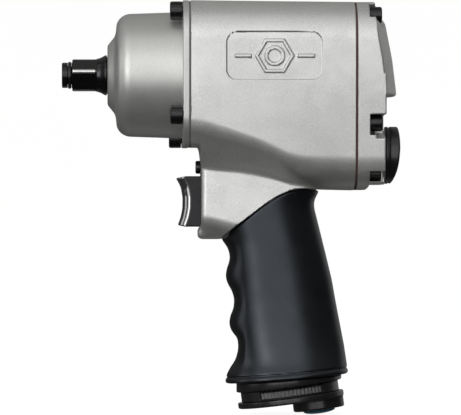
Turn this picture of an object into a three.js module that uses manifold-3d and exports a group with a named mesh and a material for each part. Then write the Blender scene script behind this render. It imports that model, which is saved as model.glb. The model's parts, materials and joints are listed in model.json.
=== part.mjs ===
// Pneumatic impact wrench with a 1/2 inch square drive, as an assembly of separate pieces.
// Millimetres, +Z up. The origin is the centre of the anvil's front end face, on the drive axis.
// -X is the drive end, +X the rear cover, and the pistol handle hangs towards -Z.
import * as THREE from 'three';
import { mergeVertices } from 'three/addons/utils/BufferGeometryUtils.js';
import Module from 'manifold-3d';

const wasm = await Module();
wasm.setup();

// ---- driving dimensions ----
const GAP = 0.3; // clearance between pieces that touch
const DRIVE = { flats: 12.7, corner: 8.5, end: 6.5, tilt: 13.3 };
const ANVIL = {
  square: 5.3, flare: 18, collar: 23, journal: 9.5, rear: 64.6, lobe: 11.9, pilot: 4, pilotEnd: 68,
};
const BUSHING = { x0: 23.9, x1: 36.2, outer: 12.5, hole: 12.8 };
const RING = { x0: 3.1, x1: 4.9, inner: 5.2, outer: 6.9 };
const CASE = { nose: 23.4, shoulder: 34.6, flange: 61.9, end: 64.9, bore: 29.2, outer: 32.5, side: 31.7 };
const BODY = { front: 65.9, rear: 149.4, half: 37, top: 37.6, bottom: -59, corner: 14 };
const MOTOR_BORE = 27.6;
const CYLINDER_GAP = 0.4; // round the motor cylinder and its end plates
const COVER = { front: 150.7, floor: 156.8, rear: 165.7, bottom: -56.4, hollow: 22 };
const FRONT_GASKET = { x0: 65.15, x1: 65.65 };
const REAR_GASKET = { x0: 149.7, x1: 150.4 };
const FRONT_SCREW = { circle: 38.5, angle: 57, head: 4.75, shank: 3, x0: 55.3, seat: 61.6, tip: 85 };
const REAR_SCREW = { head: 4.2, shank: 2.5, x1: 163.2, seat: 157.1, tip: 138 };
const POCKET = 6.2; // radius of the relief round each rear screw head
const REAR_SCREW_PLACES = [[-25, 30], [25, 30], [-30, -25], [30, -25], [-18, -50.6], [18, -50.6]];
const HAMMER = { outer: 26.3, bore: 13.6, flat: 19.0, pinCircle: 20.5, pin: 3.5 };
const HAMMER_PLACES = { front: [41, 52.4], rear: [53.1, 64.5] };
const FRAME = { outer: 27.5, x0: 37, x1: 70 };
const VALVE = { z: -41.1, spool: 6, bush: 7.7, x0: 112, x1: 166, end: 149.2, port: 3.2, screw: 1.8 };
const VALVE_RING = { x0: 145.3, x1: 147.1, inner: 4.9, outer: 6.1 };
const KNOB = { x0: 166, x1: 173.5, radius: 14.8 };
const KNOB_SCREW = { x1: 173, seat: 171.6, head: 3.1, shank: 1.5, tip: 160 };
const TRIGGER = { z: -65, half: 9, rear: 75, pin: 2.5, pinEnd: 114.8 };
const OIL_PLUG = { z: -47.3, x0: 68.7, head: 3.35, seat: 71.1, shank: 2.2, tip: 79 };
const DOWEL = { x0: 117, x1: 130, z: 25, radius: 1.5 };
const BEARING = { outer: 15.7, front: [79.2, 86.4], rear: [128.9, 135.8] };
const PASSAGE = { exhaustU: -8, exhaustY: 8, exhaustR: 4.5, exhaustTop: 132, inletTop: 112 };
const BASE = { x: 117.1, z: -161, tilt: 7.6 }; // centre of the round base, and the handle's lean
const BASE_R = { collar: 27.3, cap: 27.4, ring: 25.3, ringInner: 24, drum: 23.6, drumInner: 22.6 };
const INLET = { u: 13.8, boss: 13.2, bottom: -12.7, bush: 8, bore: 5.3 };
const THROTTLE = { bore: 7.5, disc: 6, stem: 1.6, discTop: 69, stemTop: 97 };
const LIP = { x: 116.5, z: -155.7, tilt: 4.8 }; // the slanted plane on which the grip ends

const DEG = Math.PI / 180;

// ---- materials ----
const paint = () => new THREE.MeshStandardMaterial({ color: 0xc9c8c4, roughness: 0.5, metalness: 0.6 });
const clear = () => new THREE.MeshStandardMaterial({ color: 0xb8b8b4, roughness: 0.35, metalness: 0.9 });
const black = () => new THREE.MeshStandardMaterial({ color: 0x161616, roughness: 0.35, metalness: 0.8 });
const steel = () => new THREE.MeshStandardMaterial({ color: 0x8d9094, roughness: 0.35, metalness: 1 });
const plastic = () => new THREE.MeshStandardMaterial({ color: 0x141415, roughness: 0.4, metalness: 0 });
const rubber = () => new THREE.MeshStandardMaterial({ color: 0x17181a, roughness: 0.7, metalness: 0 });
const gasket = () => new THREE.MeshStandardMaterial({ color: 0x3a2622, roughness: 0.9, metalness: 0 });
const felt = () => new THREE.MeshStandardMaterial({ color: 0x5d5b5f, roughness: 0.95, metalness: 0 });
const vane = () => new THREE.MeshStandardMaterial({ color: 0x6b4a2c, roughness: 0.7, metalness: 0 });
const bronze = () => new THREE.MeshStandardMaterial({ color: 0xa87f45, roughness: 0.5, metalness: 1 });
const blue = () => new THREE.MeshStandardMaterial({ color: 0x0c2a3a, roughness: 0.3, metalness: 0 });

// ---- geometry helpers ----
function solid(geometry) {
  const bare = geometry.index ? geometry.toNonIndexed() : geometry.clone();
  bare.deleteAttribute('normal');
  bare.deleteAttribute('uv');
  const merged = mergeVertices(bare, 1e-4);
  const triVerts = [];
  for (let i = 0; i < merged.index.count; i += 3) {
    const [a, b, c] = [0, 1, 2].map((k) => merged.index.getX(i + k));
    if (a !== b && b !== c && c !== a) {
      triVerts.push(a, b, c);
    }
  }
  const vertProperties = new Float32Array(merged.attributes.position.array);
  const tris = new Uint32Array(triVerts);
  const made = new wasm.Manifold(new wasm.Mesh({ numProp: 3, vertProperties, triVerts: tris }));
  if (made.volume() > 0) {
    return made;
  }
  const turned = tris.slice().reverse();
  return new wasm.Manifold(new wasm.Mesh({ numProp: 3, vertProperties, triVerts: turned }));
}

function geometryOf(manifold) {
  const mesh = manifold.getMesh();
  const geometry = new THREE.BufferGeometry();
  geometry.setAttribute('position', new THREE.BufferAttribute(mesh.vertProperties, 3));
  geometry.setIndex(new THREE.BufferAttribute(mesh.triVerts, 1));
  return geometry;
}

const union = (...solids) => solids.reduce((whole, s) => whole.add(s));
const cut = (body, ...tools) => tools.reduce((rest, s) => rest.subtract(s), body);

// A profile of [x, radius] points turned about the X axis.
function turned(profile, segments = 18) {
  const points = profile.map(([x, r]) => new THREE.Vector2(r, x));
  return solid(new THREE.LatheGeometry(points, segments).rotateZ(-Math.PI / 2));
}

function rod(x0, x1, radius, y = 0, z = 0, segments = 12) {
  const profile = [[x0, 0], [x0, radius], [x1, radius], [x1, 0]];
  return turned(profile, segments).translate([0, y, z]);
}

function tube(x0, x1, inner, outer, segments = 18) {
  return turned([[x0, inner], [x0, outer], [x1, outer], [x1, inner], [x0, inner]], segments);
}

// A profile of [radius, z] points turned about the Z axis.
function turnedZ(profile, segments = 20) {
  const points = profile.map(([r, z]) => new THREE.Vector2(r, z));
  return solid(new THREE.LatheGeometry(points, segments).rotateX(Math.PI / 2));
}

function rodZ(z0, z1, radius, x = 0, y = 0, segments = 14) {
  return turnedZ([[0, z0], [radius, z0], [radius, z1], [0, z1]], segments).translate([x, y, 0]);
}

function tubeZ(z0, z1, inner, outer, segments = 20) {
  return turnedZ([[inner, z0], [outer, z0], [outer, z1], [inner, z1], [inner, z0]], segments);
}

function box(x0, x1, y0, y1, z0, z1) {
  const geometry = new THREE.BoxGeometry(x1 - x0, y1 - y0, z1 - z0);
  return solid(geometry.translate((x0 + x1) / 2, (y0 + y1) / 2, (z0 + z1) / 2));
}

// A shape drawn in (Y, Z), extruded along X.
function plateX(shape, x0, x1, curveSegments = 4) {
  const options = { depth: x1 - x0, bevelEnabled: false, curveSegments };
  const geometry = new THREE.ExtrudeGeometry(shape, options);
  const ey = new THREE.Vector3(0, 1, 0);
  const ez = new THREE.Vector3(0, 0, 1);
  const ex = new THREE.Vector3(1, 0, 0);
  geometry.applyMatrix4(new THREE.Matrix4().makeBasis(ey, ez, ex));
  return solid(geometry.translate(x0, 0, 0));
}

// A shape drawn in (X, Z), extruded along Y.
function plateY(shape, y0, y1, curveSegments = 4) {
  const geometry = new THREE.ExtrudeGeometry(shape, { depth: y1 - y0, bevelEnabled: false, curveSegments });
  return solid(geometry.rotateX(Math.PI / 2).translate(0, y1, 0));
}

function polygon(points) {
  return new THREE.Shape(points.map(([a, b]) => new THREE.Vector2(a, b)));
}

// A smooth closed or open outline through a few points.
function smooth(points, steps) {
  const curve = new THREE.SplineCurve(points.map(([a, b]) => new THREE.Vector2(a, b)));
  return curve.getPoints(steps).map((p) => [p.x, p.y]);
}

function roundedRect(a0, a1, b0, b1, r) {
  const shape = new THREE.Shape();
  shape.moveTo(a0 + r, b0);
  shape.lineTo(a1 - r, b0);
  shape.absarc(a1 - r, b0 + r, r, -Math.PI / 2, 0);
  shape.lineTo(a1, b1 - r);
  shape.absarc(a1 - r, b1 - r, r, 0, Math.PI / 2);
  shape.lineTo(a0 + r, b1);
  shape.absarc(a0 + r, b1 - r, r, Math.PI / 2, Math.PI);
  shape.lineTo(a0, b0 + r);
  shape.absarc(a0 + r, b0 + r, r, Math.PI, Math.PI * 1.5);
  return shape;
}

// A closed skin over rings of points that all have the same count, capped at both ends.
function loft(rings) {
  const count = rings[0].length;
  const vertices = rings.flat();
  const faces = [];
  for (let i = 0; i < rings.length - 1; i += 1) {
    for (let j = 0; j < count; j += 1) {
      const a = i * count + j;
      const b = i * count + ((j + 1) % count);
      faces.push(a, b, b + count, a, b + count, a + count);
    }
  }
  const last = (rings.length - 1) * count;
  for (let j = 1; j < count - 1; j += 1) {
    faces.push(0, j + 1, j, last, last + j, last + j + 1);
  }
  const geometry = new THREE.BufferGeometry().setFromPoints(vertices);
  geometry.setIndex(faces);
  return solid(geometry);
}

// A ring at height z: an oval with a given squareness, from x0 to x1 and half a width each way.
function ovalRing(x0, x1, half, z, power = 2.4, count = 20) {
  const ring = [];
  for (let k = 0; k < count; k += 1) {
    const angle = (2 * Math.PI * k) / count;
    const [c, s] = [Math.cos(angle), Math.sin(angle)];
    const x = (Math.sign(c) * Math.abs(c) ** (2 / power) * (x1 - x0)) / 2;
    const y = Math.sign(s) * Math.abs(s) ** (2 / power) * half;
    ring.push(new THREE.Vector3((x0 + x1) / 2 + x, y, z));
  }
  return ring;
}

const assembly = new THREE.Group();
const handle = new THREE.Group(); // local Z runs up the leaning handle from the round base
handle.position.set(BASE.x, 0, BASE.z);
handle.rotation.y = -BASE.tilt * DEG;
assembly.add(handle);

function add(name, manifold, material, parent = assembly) {
  const mesh = new THREE.Mesh(geometryOf(manifold), material);
  mesh.name = name;
  parent.add(mesh);
}

// Moves a solid drawn in the handle's local frame into the assembly's frame.
function fromHandle(manifold) {
  return manifold.rotate([0, -BASE.tilt, 0]).translate([BASE.x, 0, BASE.z]);
}

// ---- drive end ----
function squareBar(x0, x1) {
  const half = DRIVE.flats / 2;
  const bar = box(x0, x1, -half, half, -half, half);
  const end = [[x0, 0], [x0, DRIVE.corner - 0.9], [x0 + 0.9, DRIVE.corner]];
  const chamfer = turned([...end, [x1, DRIVE.corner], [x1, 0]], 16);
  return bar.intersect(chamfer).rotate([45 - DRIVE.tilt, 0, 0]);
}

function anvil() {
  const root = ANVIL.square + 0.2;
  const nose = turned([[0, 0], [0, DRIVE.end - 0.6], [0.6, DRIVE.end], [root, DRIVE.end], [root, 0]]);
  const groove = tube(RING.x0 - 0.1, RING.x1 + 0.1, RING.inner - GAP - 0.6, 9, 32);
  const flare = [[ANVIL.flare - 0.2, 0], [ANVIL.flare - 0.2, 8.4], [20.5, 9.2], [22.4, 10.35]];
  const collar = [[ANVIL.collar, 10.35], [ANVIL.collar, ANVIL.journal]];
  const journal = turned([...flare, ...collar, [ANVIL.rear, ANVIL.journal], [ANVIL.rear, 0]]);
  // one lobe for each hammer to strike
  const [front, rear] = [HAMMER_PLACES.front, HAMMER_PLACES.rear];
  const lobe = plateX(roundedRect(-4.5, 4.5, 0, ANVIL.lobe, 2), front[0], front[1] - 0.1);
  const secondLobe = plateX(roundedRect(-4.5, 4.5, -ANVIL.lobe, 0, 2), rear[0] + 0.1, rear[1] - 0.1);
  const pilot = rod(ANVIL.rear - 0.5, ANVIL.pilotEnd, ANVIL.pilot);
  return union(cut(nose, groove), squareBar(ANVIL.square, ANVIL.flare), journal, lobe, secondLobe, pilot);
}

function retainerRing() {
  const ring = tube(RING.x0, RING.x1, RING.inner + 0.5, RING.outer);
  return cut(ring, box(0, 10, -1, 1, 0, 10)).rotate([120, 0, 0]);
}

add('anvil', anvil(), black());
add('socket_retainer_ring', retainerRing(), black());
add('retainer_o_ring', tube(RING.x0 + 0.3, RING.x1 - 0.3, RING.inner - 0.5, RING.inner + 0.25, 24), rubber());

// ---- the body's section ----
// Stations along the body: x, underside, where the sloping flank starts, its fall below level, its bulge.
const STATIONS = [
  [62, -37, -22.8, 36, 0], [70.6, -37, -23, 36, 0], [71.8, -46.4, -23.2, 36, 0], [86, -47.4, -28.2, 42, 0],
  [102, -50.6, -34.8, 48, 0], [117, -56.4, -45.8, 58, 0.6], [133, -58.8, -48, 47, 2], [152, BODY.bottom, -48.7, 45, 2.6],
];

function station(x) {
  const after = Math.max(1, STATIONS.findIndex((row) => row[0] >= x));
  const [a, b] = [STATIONS[after - 1], STATIONS[after]];
  const t = (x - a[0]) / (b[0] - a[0]);
  return a.map((value, k) => value + (b[k] - value) * t);
}

// One side of the section from the top down, as [half a width, height].
function sideOf(x) {
  const [, bottom, start, fall, bulge] = station(x);
  const top = BODY.top - (x - BODY.front) * 0.006;
  const [out, level] = [BODY.half - BODY.corner, top - BODY.corner];
  const corner = [90, 60, 30, 0].map((deg) => {
    return [out + BODY.corner * Math.cos(deg * DEG), level + BODY.corner * Math.sin(deg * DEG)];
  });
  const foot = BODY.half - (start - bottom) * Math.tan(fall * DEG);
  const middleY = (BODY.half + foot) / 2 + bulge * Math.cos(fall * DEG);
  const middleZ = (start + bottom) / 2 - bulge * Math.sin(fall * DEG);
  const flank = [[BODY.half, start + 1.6], [BODY.half - 0.7, start - 1.2], [middleY, middleZ]];
  return [...corner, ...flank, [foot + 0.9, bottom + 1.4], [foot - 1.6, bottom]];
}

function sectionAt(x, grow = 0) {
  const side = sideOf(x).map(([y, z]) => [y * (1 + grow / BODY.half), z * (1 + grow / BODY.half)]);
  const otherSide = side.map(([y, z]) => [-y, z]).reverse();
  return [...side, ...otherSide];
}

// ---- hammer case ----
function frontOutline(grow = 0) {
  return polygon(sectionAt(CASE.flange + 0.1, grow));
}

function frontScrewPlaces() {
  return [0, 1, 2, 3].map((k) => {
    const angle = (FRONT_SCREW.angle + 90 * k) * DEG;
    return [-FRONT_SCREW.circle * Math.cos(angle), FRONT_SCREW.circle * Math.sin(angle)];
  });
}

// The case screws' clearance holes, from x0 to x1.
function frontScrewHoles(x0, x1) {
  return frontScrewPlaces().map(([y, z]) => rod(x0, x1, FRONT_SCREW.shank + GAP, y, z, 8));
}

function rearScrewHoles(x0, x1) {
  return REAR_SCREW_PLACES.map(([y, z]) => rod(x0, x1, REAR_SCREW.shank + GAP, y, z, 8));
}

function hammerCase() {
  const round = 6.5;
  const shoulder = [];
  for (let k = 0; k <= 4; k += 1) {
    const angle = (k * 90 * DEG) / 4;
    shoulder.push([CASE.shoulder - round * Math.cos(angle), CASE.side - round + round * Math.sin(angle)]);
  }
  const outside = [[CASE.nose, BUSHING.hole], [CASE.nose, 15.1], [26.9, 19.5], [27.6, 21.8], ...shoulder];
  const inside = [[CASE.end, CASE.outer], [CASE.end, CASE.bore], [33, CASE.bore], [33, 15.5], [36.4, 15.5]];
  const shell = turned([...outside, ...inside, [36.4, BUSHING.hole], [CASE.nose, BUSHING.hole]], 22);
  const flange = cut(plateX(frontOutline(0.3), CASE.flange, CASE.end), rod(60, 70, CASE.bore, 0, 0, 22));
  return cut(union(shell, flange), ...frontScrewHoles(60, 70));
}

function socketScrew(x0, x1, headRadius, shankRadius, tip, towardsTip) {
  // the head lies between x0 and x1 and the hex socket opens away from the tip
  const mouth = towardsTip > 0 ? x0 : x1;
  const seat = towardsTip > 0 ? x1 : x0;
  const inward = towardsTip * (x1 - x0);
  const rim = [[mouth, 0], [mouth, headRadius - 0.5], [mouth + inward * 0.08, headRadius]];
  const shank = [[seat, headRadius], [seat, shankRadius], [tip, shankRadius], [tip, 0]];
  const body = turned([...rim, ...shank], 12);
  const low = Math.min(mouth - inward * 0.1, mouth + inward * 0.5);
  const high = Math.max(mouth - inward * 0.1, mouth + inward * 0.5);
  return cut(body, rod(low, high, headRadius * 0.58, 0, 0, 6));
}

add('anvil_bushing', tube(BUSHING.x0, BUSHING.x1, ANVIL.journal + GAP, BUSHING.outer), bronze());
add('hammer_case', hammerCase(), clear());
frontScrewPlaces().forEach(([y, z], k) => {
  const s = FRONT_SCREW;
  const screw = socketScrew(s.x0, s.seat, s.head, s.shank, s.tip, 1).translate([0, y, z]);
  add(`hammer_case_screw_${k + 1}`, screw, black());
});

function frontGasket() {
  const sheet = plateX(frontOutline(-0.3), FRONT_GASKET.x0, FRONT_GASKET.x1);
  return cut(sheet, rod(60, 70, CASE.bore, 0, 0, 22), ...frontScrewHoles(60, 70));
}
add('hammer_case_gasket', frontGasket(), gasket());

// ---- twin-hammer mechanism ----
function hammerFrame() {
  const [front, rear] = [FRAME.x0 + 3.5, FRAME.x1 - 5];
  const frontPlate = tube(FRAME.x0, front, HAMMER.bore, FRAME.outer);
  const rearPlate = rod(rear, FRAME.x1, FRAME.outer, 0, 0, 32);
  const bridges = cut(tube(front - 0.5, rear + 0.5, 23.3, FRAME.outer), box(30, 80, -20.9, 20.9, -40, 40));
  const hub = rod(FRAME.x1 - 0.5, 77, 9);
  const pinHoles = [1, -1].map((side) => rod(30, 69, HAMMER.pin + GAP, 0, side * HAMMER.pinCircle, 16));
  const shaftBore = rod(FRAME.x1 + 0.2, 80, 5.3, 0, 0, 24);
  const pilotBore = rod(rear - 1, 68.4, 4.3, 0, 0, 24);
  return cut(union(frontPlate, rearPlate, bridges, hub), ...pinHoles, shaftBore, pilotBore);
}

// side is +1 for a hammer that swings on the upper pin, -1 for the lower one.
function hammer(x0, x1, side) {
  const ring = tube(x0, x1, HAMMER.bore, HAMMER.outer, 22);
  const flats = box(x0 - 1, x1 + 1, -HAMMER.flat, HAMMER.flat, -40, 40);
  const pivot = rod(x0 - 1, x1 + 1, HAMMER.pin + GAP, 0, side * HAMMER.pinCircle, 16);
  const notchEnd = -side * (HAMMER.pinCircle - HAMMER.pin - GAP);
  const notch = box(x0 - 1, x1 + 1, -6, 6, Math.min(notchEnd, -side * 40), Math.max(notchEnd, -side * 40));
  return cut(ring.intersect(flats), pivot, notch);
}

add('hammer_frame', hammerFrame(), steel());
add('front_hammer', hammer(...HAMMER_PLACES.front, 1), steel());
add('rear_hammer', hammer(...HAMMER_PLACES.rear, -1), steel());
[1, -1].forEach((side, k) => {
  const pin = rod(FRAME.x0 + 0.5, 68.5, HAMMER.pin, 0, side * HAMMER.pinCircle, 16);
  add(`hammer_pin_${k + 1}`, pin, steel());
});

// ---- vane air motor ----
const VANES = 6;
const ROTOR = { x0: 89.4, x1: 125.6, radius: 19.2, journal: 7, slotFloor: 10.5, slot: 1.1 };

function rotor() {
  const front = [[70.6, 0], [70.6, 5], [77.3, 5], [77.3, ROTOR.journal], [ROTOR.x0, ROTOR.journal]];
  const barrel = [[ROTOR.x0, ROTOR.radius], [ROTOR.x1, ROTOR.radius], [ROTOR.x1, ROTOR.journal]];
  const body = turned([...front, ...barrel, [138, ROTOR.journal], [138, 0]], 24);
  const slots = Array.from({ length: VANES }, (_, k) => {
    const slot = box(ROTOR.x0 - 1, ROTOR.x1 + 1, -ROTOR.slot, ROTOR.slot, ROTOR.slotFloor, 25);
    return slot.rotate([(360 / VANES) * k + 30, 0, 0]);
  });
  return cut(body, ...slots);
}

function dowelHole() {
  return rod(DOWEL.x0 - 1, DOWEL.x1 + 0.5, DOWEL.radius + GAP, 0, DOWEL.z, 12);
}

function motorCylinder() {
  const wall = rod(89, 126, MOTOR_BORE - CYLINDER_GAP, 0, 0, 22);
  const bore = rod(80, 130, 21.2, 0, 1.5, 22);
  const exhaustPort = box(98, 117, -5, 5, -40, 0);
  return cut(wall, bore, exhaustPort, dowelHole());
}

function endPlate(x0, x1, pocket0, pocket1) {
  const disc = rod(x0, x1, MOTOR_BORE - CYLINDER_GAP, 0, 0, 24);
  const bearingSeat = rod(pocket0, pocket1, BEARING.outer + GAP, 0, 0, 20);
  return cut(disc, bearingSeat, rod(x0 - 1, x1 + 1, ROTOR.journal + 1, 0, 0, 14));
}

function bearing(x0, x1) {
  const rings = tube(x0, x1, ROTOR.journal + GAP, BEARING.outer, 20);
  const groove = [[x0 - 1, 9.6], [x0 - 1, 13.2], [x0 + 0.5, 13.2], [x0 + 0.5, 9.6], [x0 - 1, 9.6]];
  return cut(rings, turned(groove, 20));
}

add('front_rotor_bearing', bearing(...BEARING.front), steel());
add('front_end_plate', endPlate(79, 88.7, 78, 86.7), steel());
add('motor_cylinder', motorCylinder(), steel());
add('rotor', rotor(), steel());
for (let k = 0; k < VANES; k += 1) {
  const blade = box(ROTOR.x0 + 0.2, ROTOR.x1 - 0.2, -0.8, 0.8, ROTOR.slotFloor + GAP, ROTOR.radius);
  add(`rotor_vane_${k + 1}`, blade.rotate([(360 / VANES) * k + 30, 0, 0]), vane());
}
add('rear_end_plate', cut(endPlate(126.3, 136, 128.6, 140), dowelHole()), steel());
add('rear_rotor_bearing', bearing(...BEARING.rear), steel());
add('cylinder_dowel_pin', rod(DOWEL.x0, DOWEL.x1, DOWEL.radius, 0, DOWEL.z, 12), steel());

// ---- handle lofts ----
// Heights down the handle, with the front and rear of the grip and half its width at each.
const GRIP_SECTIONS = [
  [-40, 74, 133.5, 19], [-66, 78, 129.8, 20], [-85.4, 82.4, 134.1, 20.6], [-93.8, 86.6, 136.2, 20.6],
  [-103.3, 84.2, 138.5, 20.6], [-115.8, 88.8, 140.9, 21], [-127.8, 86, 143.1, 21.6],
  [-138.6, 90.9, 145.2, 22.8], [-146.6, 89.4, 146.4, 24.6], [-151.2, 86.1, 147.1, 26.4],
  [-154.8, 84.5, 146.6, 28], [-160, 85.6, 146.4, 28.6],
];
// The metal core inside it, without the finger grooves.
const CORE_SECTIONS = [
  [-26, 71.4, 133, 17], [-83.4, 88.5, 131.2, 17.6], [-103, 90.4, 135.6, 17.8], [-128, 94, 140.2, 18.6],
  [-146, 95.6, 143.4, 20.4], [-160, 96, 144.6, 22.6],
];
// The bare metal neck above the grip.
const NECK_SECTIONS = [[-26, 71.4, 133.5, 21], [-62, 71.4, 131.4, 19.4], [-90, 71.4, 133.6, 19.4]];

function handleLoft(sections, power, inflate = 0) {
  return loft(sections.map(([z, x0, x1, half]) => {
    return ovalRing(x0 - inflate, x1 + inflate, half + inflate, z, power);
  }));
}

// Where the rubber ends and the bare metal begins, from front to rear.
const GRIP_TOP = [[82.3, -83.4], [96.1, -72.2], [105, -65.4], [116.8, -59.6], [123.9, -58.9], [131, -60.6]];

function aboveGrip(drop) {
  const edge = smooth(GRIP_TOP, 12).map(([x, z]) => [x, z - drop]);
  return plateY(polygon([[60, -83.1], ...edge, [160, -60.6 - drop], [160, 0], [60, 0]]), -60, 60);
}

function belowGrip(drop) {
  const edge = smooth(GRIP_TOP, 12).map(([x, z]) => [x, z - drop]);
  const side = [[60, -83.4 - drop], ...edge, [160, -60.6 - drop], [160, -200], [60, -200]];
  return plateY(polygon(side), -60, 60);
}

function aboveLip(lift) {
  const half = box(-80, 80, -60, 60, 0, 200).rotate([0, -LIP.tilt, 0]);
  return half.translate([LIP.x, 0, LIP.z + lift]);
}

// ---- motor housing ----
function barrel() {
  const stops = [BODY.front, 70.6, 71.8, 86, 102, 117, 133, BODY.rear];
  return loft(stops.map((x) => sectionAt(x).map(([y, z]) => new THREE.Vector3(x, y, z))));
}

function badgePanels() {
  const outline = roundedRect(83.9, 132.3, -3.2, 21, 6);
  return [plateY(outline, -40, -BODY.half + 0.4), plateY(outline, BODY.half - 0.4, 40)];
}

function handlePassages() {
  const p = PASSAGE;
  const inlet = rodZ(-5, p.inletTop, THROTTLE.bore, INLET.u, 0);
  const thread = rodZ(-5, 15, INLET.bush + GAP, INLET.u, 0);
  const exhaust = [-1, 1].map((side) => {
    return rodZ(-5, p.exhaustTop, p.exhaustR, p.exhaustU, side * p.exhaustY, 10);
  });
  return [inlet, thread, ...exhaust].map(fromHandle);
}

function motorHousing() {
  const neck = handleLoft(NECK_SECTIONS, 4).intersect(aboveGrip(0));
  const core = handleLoft(CORE_SECTIONS, 2.6).intersect(aboveLip(0.2));
  const chin = box(70.3, 82.1, -9.6, 9.6, -83, -78.6);
  const body = union(barrel(), neck, core, chin);
  const mechanismRecess = rod(60, 71.2, CASE.bore, 0, 0, 22);
  const webHole = rod(70, 80, 12, 0, 0, 22);
  const motorBore = rod(78.7, 160, MOTOR_BORE, 0, 0, 22);
  const frontHoles = frontScrewHoles(60, FRONT_SCREW.tip + 1);
  const rearHoles = rearScrewHoles(REAR_SCREW.tip - 1, 160);
  const valveBore = rod(VALVE.x0 - 1, 160, VALVE.bush + GAP, 0, VALVE.z, 24);
  const motorPort = box(124, 134, -3, 3, VALVE.z, -20);
  const triggerPocket = box(60, 82.5, -TRIGGER.half - 0.4, TRIGGER.half + 0.4, -78.3, -51.7);
  const pinBore = rod(80, 118, TRIGGER.pin + GAP, 0, TRIGGER.z, 14);
  const plugHole = rod(60, OIL_PLUG.tip + 0.5, OIL_PLUG.shank + GAP, 0, OIL_PLUG.z, 14);
  const bores = [mechanismRecess, webHole, motorBore, ...frontHoles, ...rearHoles, valveBore, motorPort];
  return cut(body, ...bores, triggerPocket, pinBore, plugHole, ...handlePassages(), ...badgePanels());
}
add('motor_housing', motorHousing(), paint());

function oilPlug() {
  const { x0, seat, tip, head, shank, z } = OIL_PLUG;
  return union(rod(x0, seat, head, 0, z, 20), rod(seat - 0.1, tip, shank, 0, z, 14));
}
add('oil_plug_screw', oilPlug(), black());

// ---- rear cover ----
function rearOutline(inset = 0) {
  return polygon(sectionAt(BODY.rear, -inset));
}

function rearGasket() {
  const sheet = plateX(rearOutline(0.2), REAR_GASKET.x0, REAR_GASKET.x1);
  const motorHole = rod(140, 160, MOTOR_BORE - 0.1, 0, 0, 22);
  const valveHole = rod(140, 160, VALVE.bush + 0.5, 0, VALVE.z, 24);
  return cut(sheet, motorHole, valveHole, ...rearScrewHoles(140, 160));
}

// The side view of the cover: flange, slanted upper block, channel, and the lower block behind the knob.
const COVER_SIDE = [
  [COVER.front, BODY.bottom], [155.6, BODY.bottom], [157.4, COVER.bottom], [COVER.rear, COVER.bottom],
  [COVER.rear, -29.2], [164.4, -29.2], [164.4, -21], [166.5, -20.6], [166.5, -11], [171, -11], [172, -9],
  [165.8, 27], [164, 29.5], [162, 35.5], [160.4, BODY.top - 0.5], [COVER.front, BODY.top - 0.5],
];

function rearCover() {
  const side = plateY(polygon(COVER_SIDE), -40, 40);
  const outline = plateX(rearOutline(), COVER.front, 175);
  const crown = turned([[149, 0], [149, 60], [157, 43], [163, 39], [169.5, 33.5], [173, 27], [173, 0]], 22);
  const round = union(crown, box(150, 175, -60, 60, -80, -20));
  const spigot = tube(136.3, COVER.front + 1, COVER.hollow, MOTOR_BORE - CYLINDER_GAP, 22);
  const deep = rod(COVER.front - 1, 160, COVER.hollow, 0, 0, 32);
  const pockets = REAR_SCREW_PLACES.map(([y, z]) => {
    const scallop = rod(COVER.floor, 180, POCKET, y, z, 12);
    const far = 20 * Math.sign(y);
    const lane = box(COVER.floor, 180, -POCKET, POCKET, 0, 25).rotate([y > 0 ? -45 : 45, 0, 0]);
    const aside = box(COVER.floor, 180, Math.min(y, y + far), Math.max(y, y + far), z - POCKET, z + POCKET);
    return union(scallop, z > 0 ? lane.translate([0, y, z]) : aside);
  });
  const holes = rearScrewHoles(140, 160);
  const spoolHole = rod(140, 180, VALVE.spool + 0.4, 0, VALVE.z, 24);
  const body = side.intersect(outline).intersect(round);
  return union(cut(body, ...pockets, ...holes, spoolHole, deep), spigot);
}
add('rear_gasket', rearGasket(), gasket());
add('rear_cover', rearCover(), paint());
REAR_SCREW_PLACES.forEach(([y, z], k) => {
  const s = REAR_SCREW;
  const screw = socketScrew(s.seat, s.x1, s.head, s.shank, s.tip, -1).translate([0, y, z]);
  add(`rear_cover_screw_${k + 1}`, screw, black());
});

// ---- reverse valve and knob ----
function valveBushing() {
  const sleeve = tube(VALVE.x0, VALVE.end, VALVE.spool + GAP, VALVE.bush, 22).translate([0, 0, VALVE.z]);
  const topPort = rod(0, 20, VALVE.port, 0, 0, 12).rotate([0, -90, 0]).translate([129, 0, VALVE.z]);
  const inletPort = rod(0, 20, VALVE.port, 0, 0, 12).rotate([0, 90, 0]).translate([117, 0, VALVE.z]);
  return cut(sleeve, topPort, inletPort);
}

function reverseValve() {
  const spool = rod(VALVE.x0 + 1, VALVE.x1 + 2.5, VALVE.spool, 0, VALVE.z, 24);
  const airWay = box(114, 132, 2.2, 8, VALVE.z - 8, VALVE.z + 8);
  const ringGroove = tube(VALVE_RING.x0 - GAP, VALVE_RING.x1 + GAP, VALVE_RING.inner - GAP, 8, 24);
  const key = box(VALVE.x1, VALVE.x1 + 5, 3.5, 8, VALVE.z - 8, VALVE.z + 8);
  const screwHole = rod(158, 180, VALVE.screw, 0, VALVE.z, 12);
  return cut(spool, airWay, ringGroove.translate([0, 0, VALVE.z]), key, screwHole);
}

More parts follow.
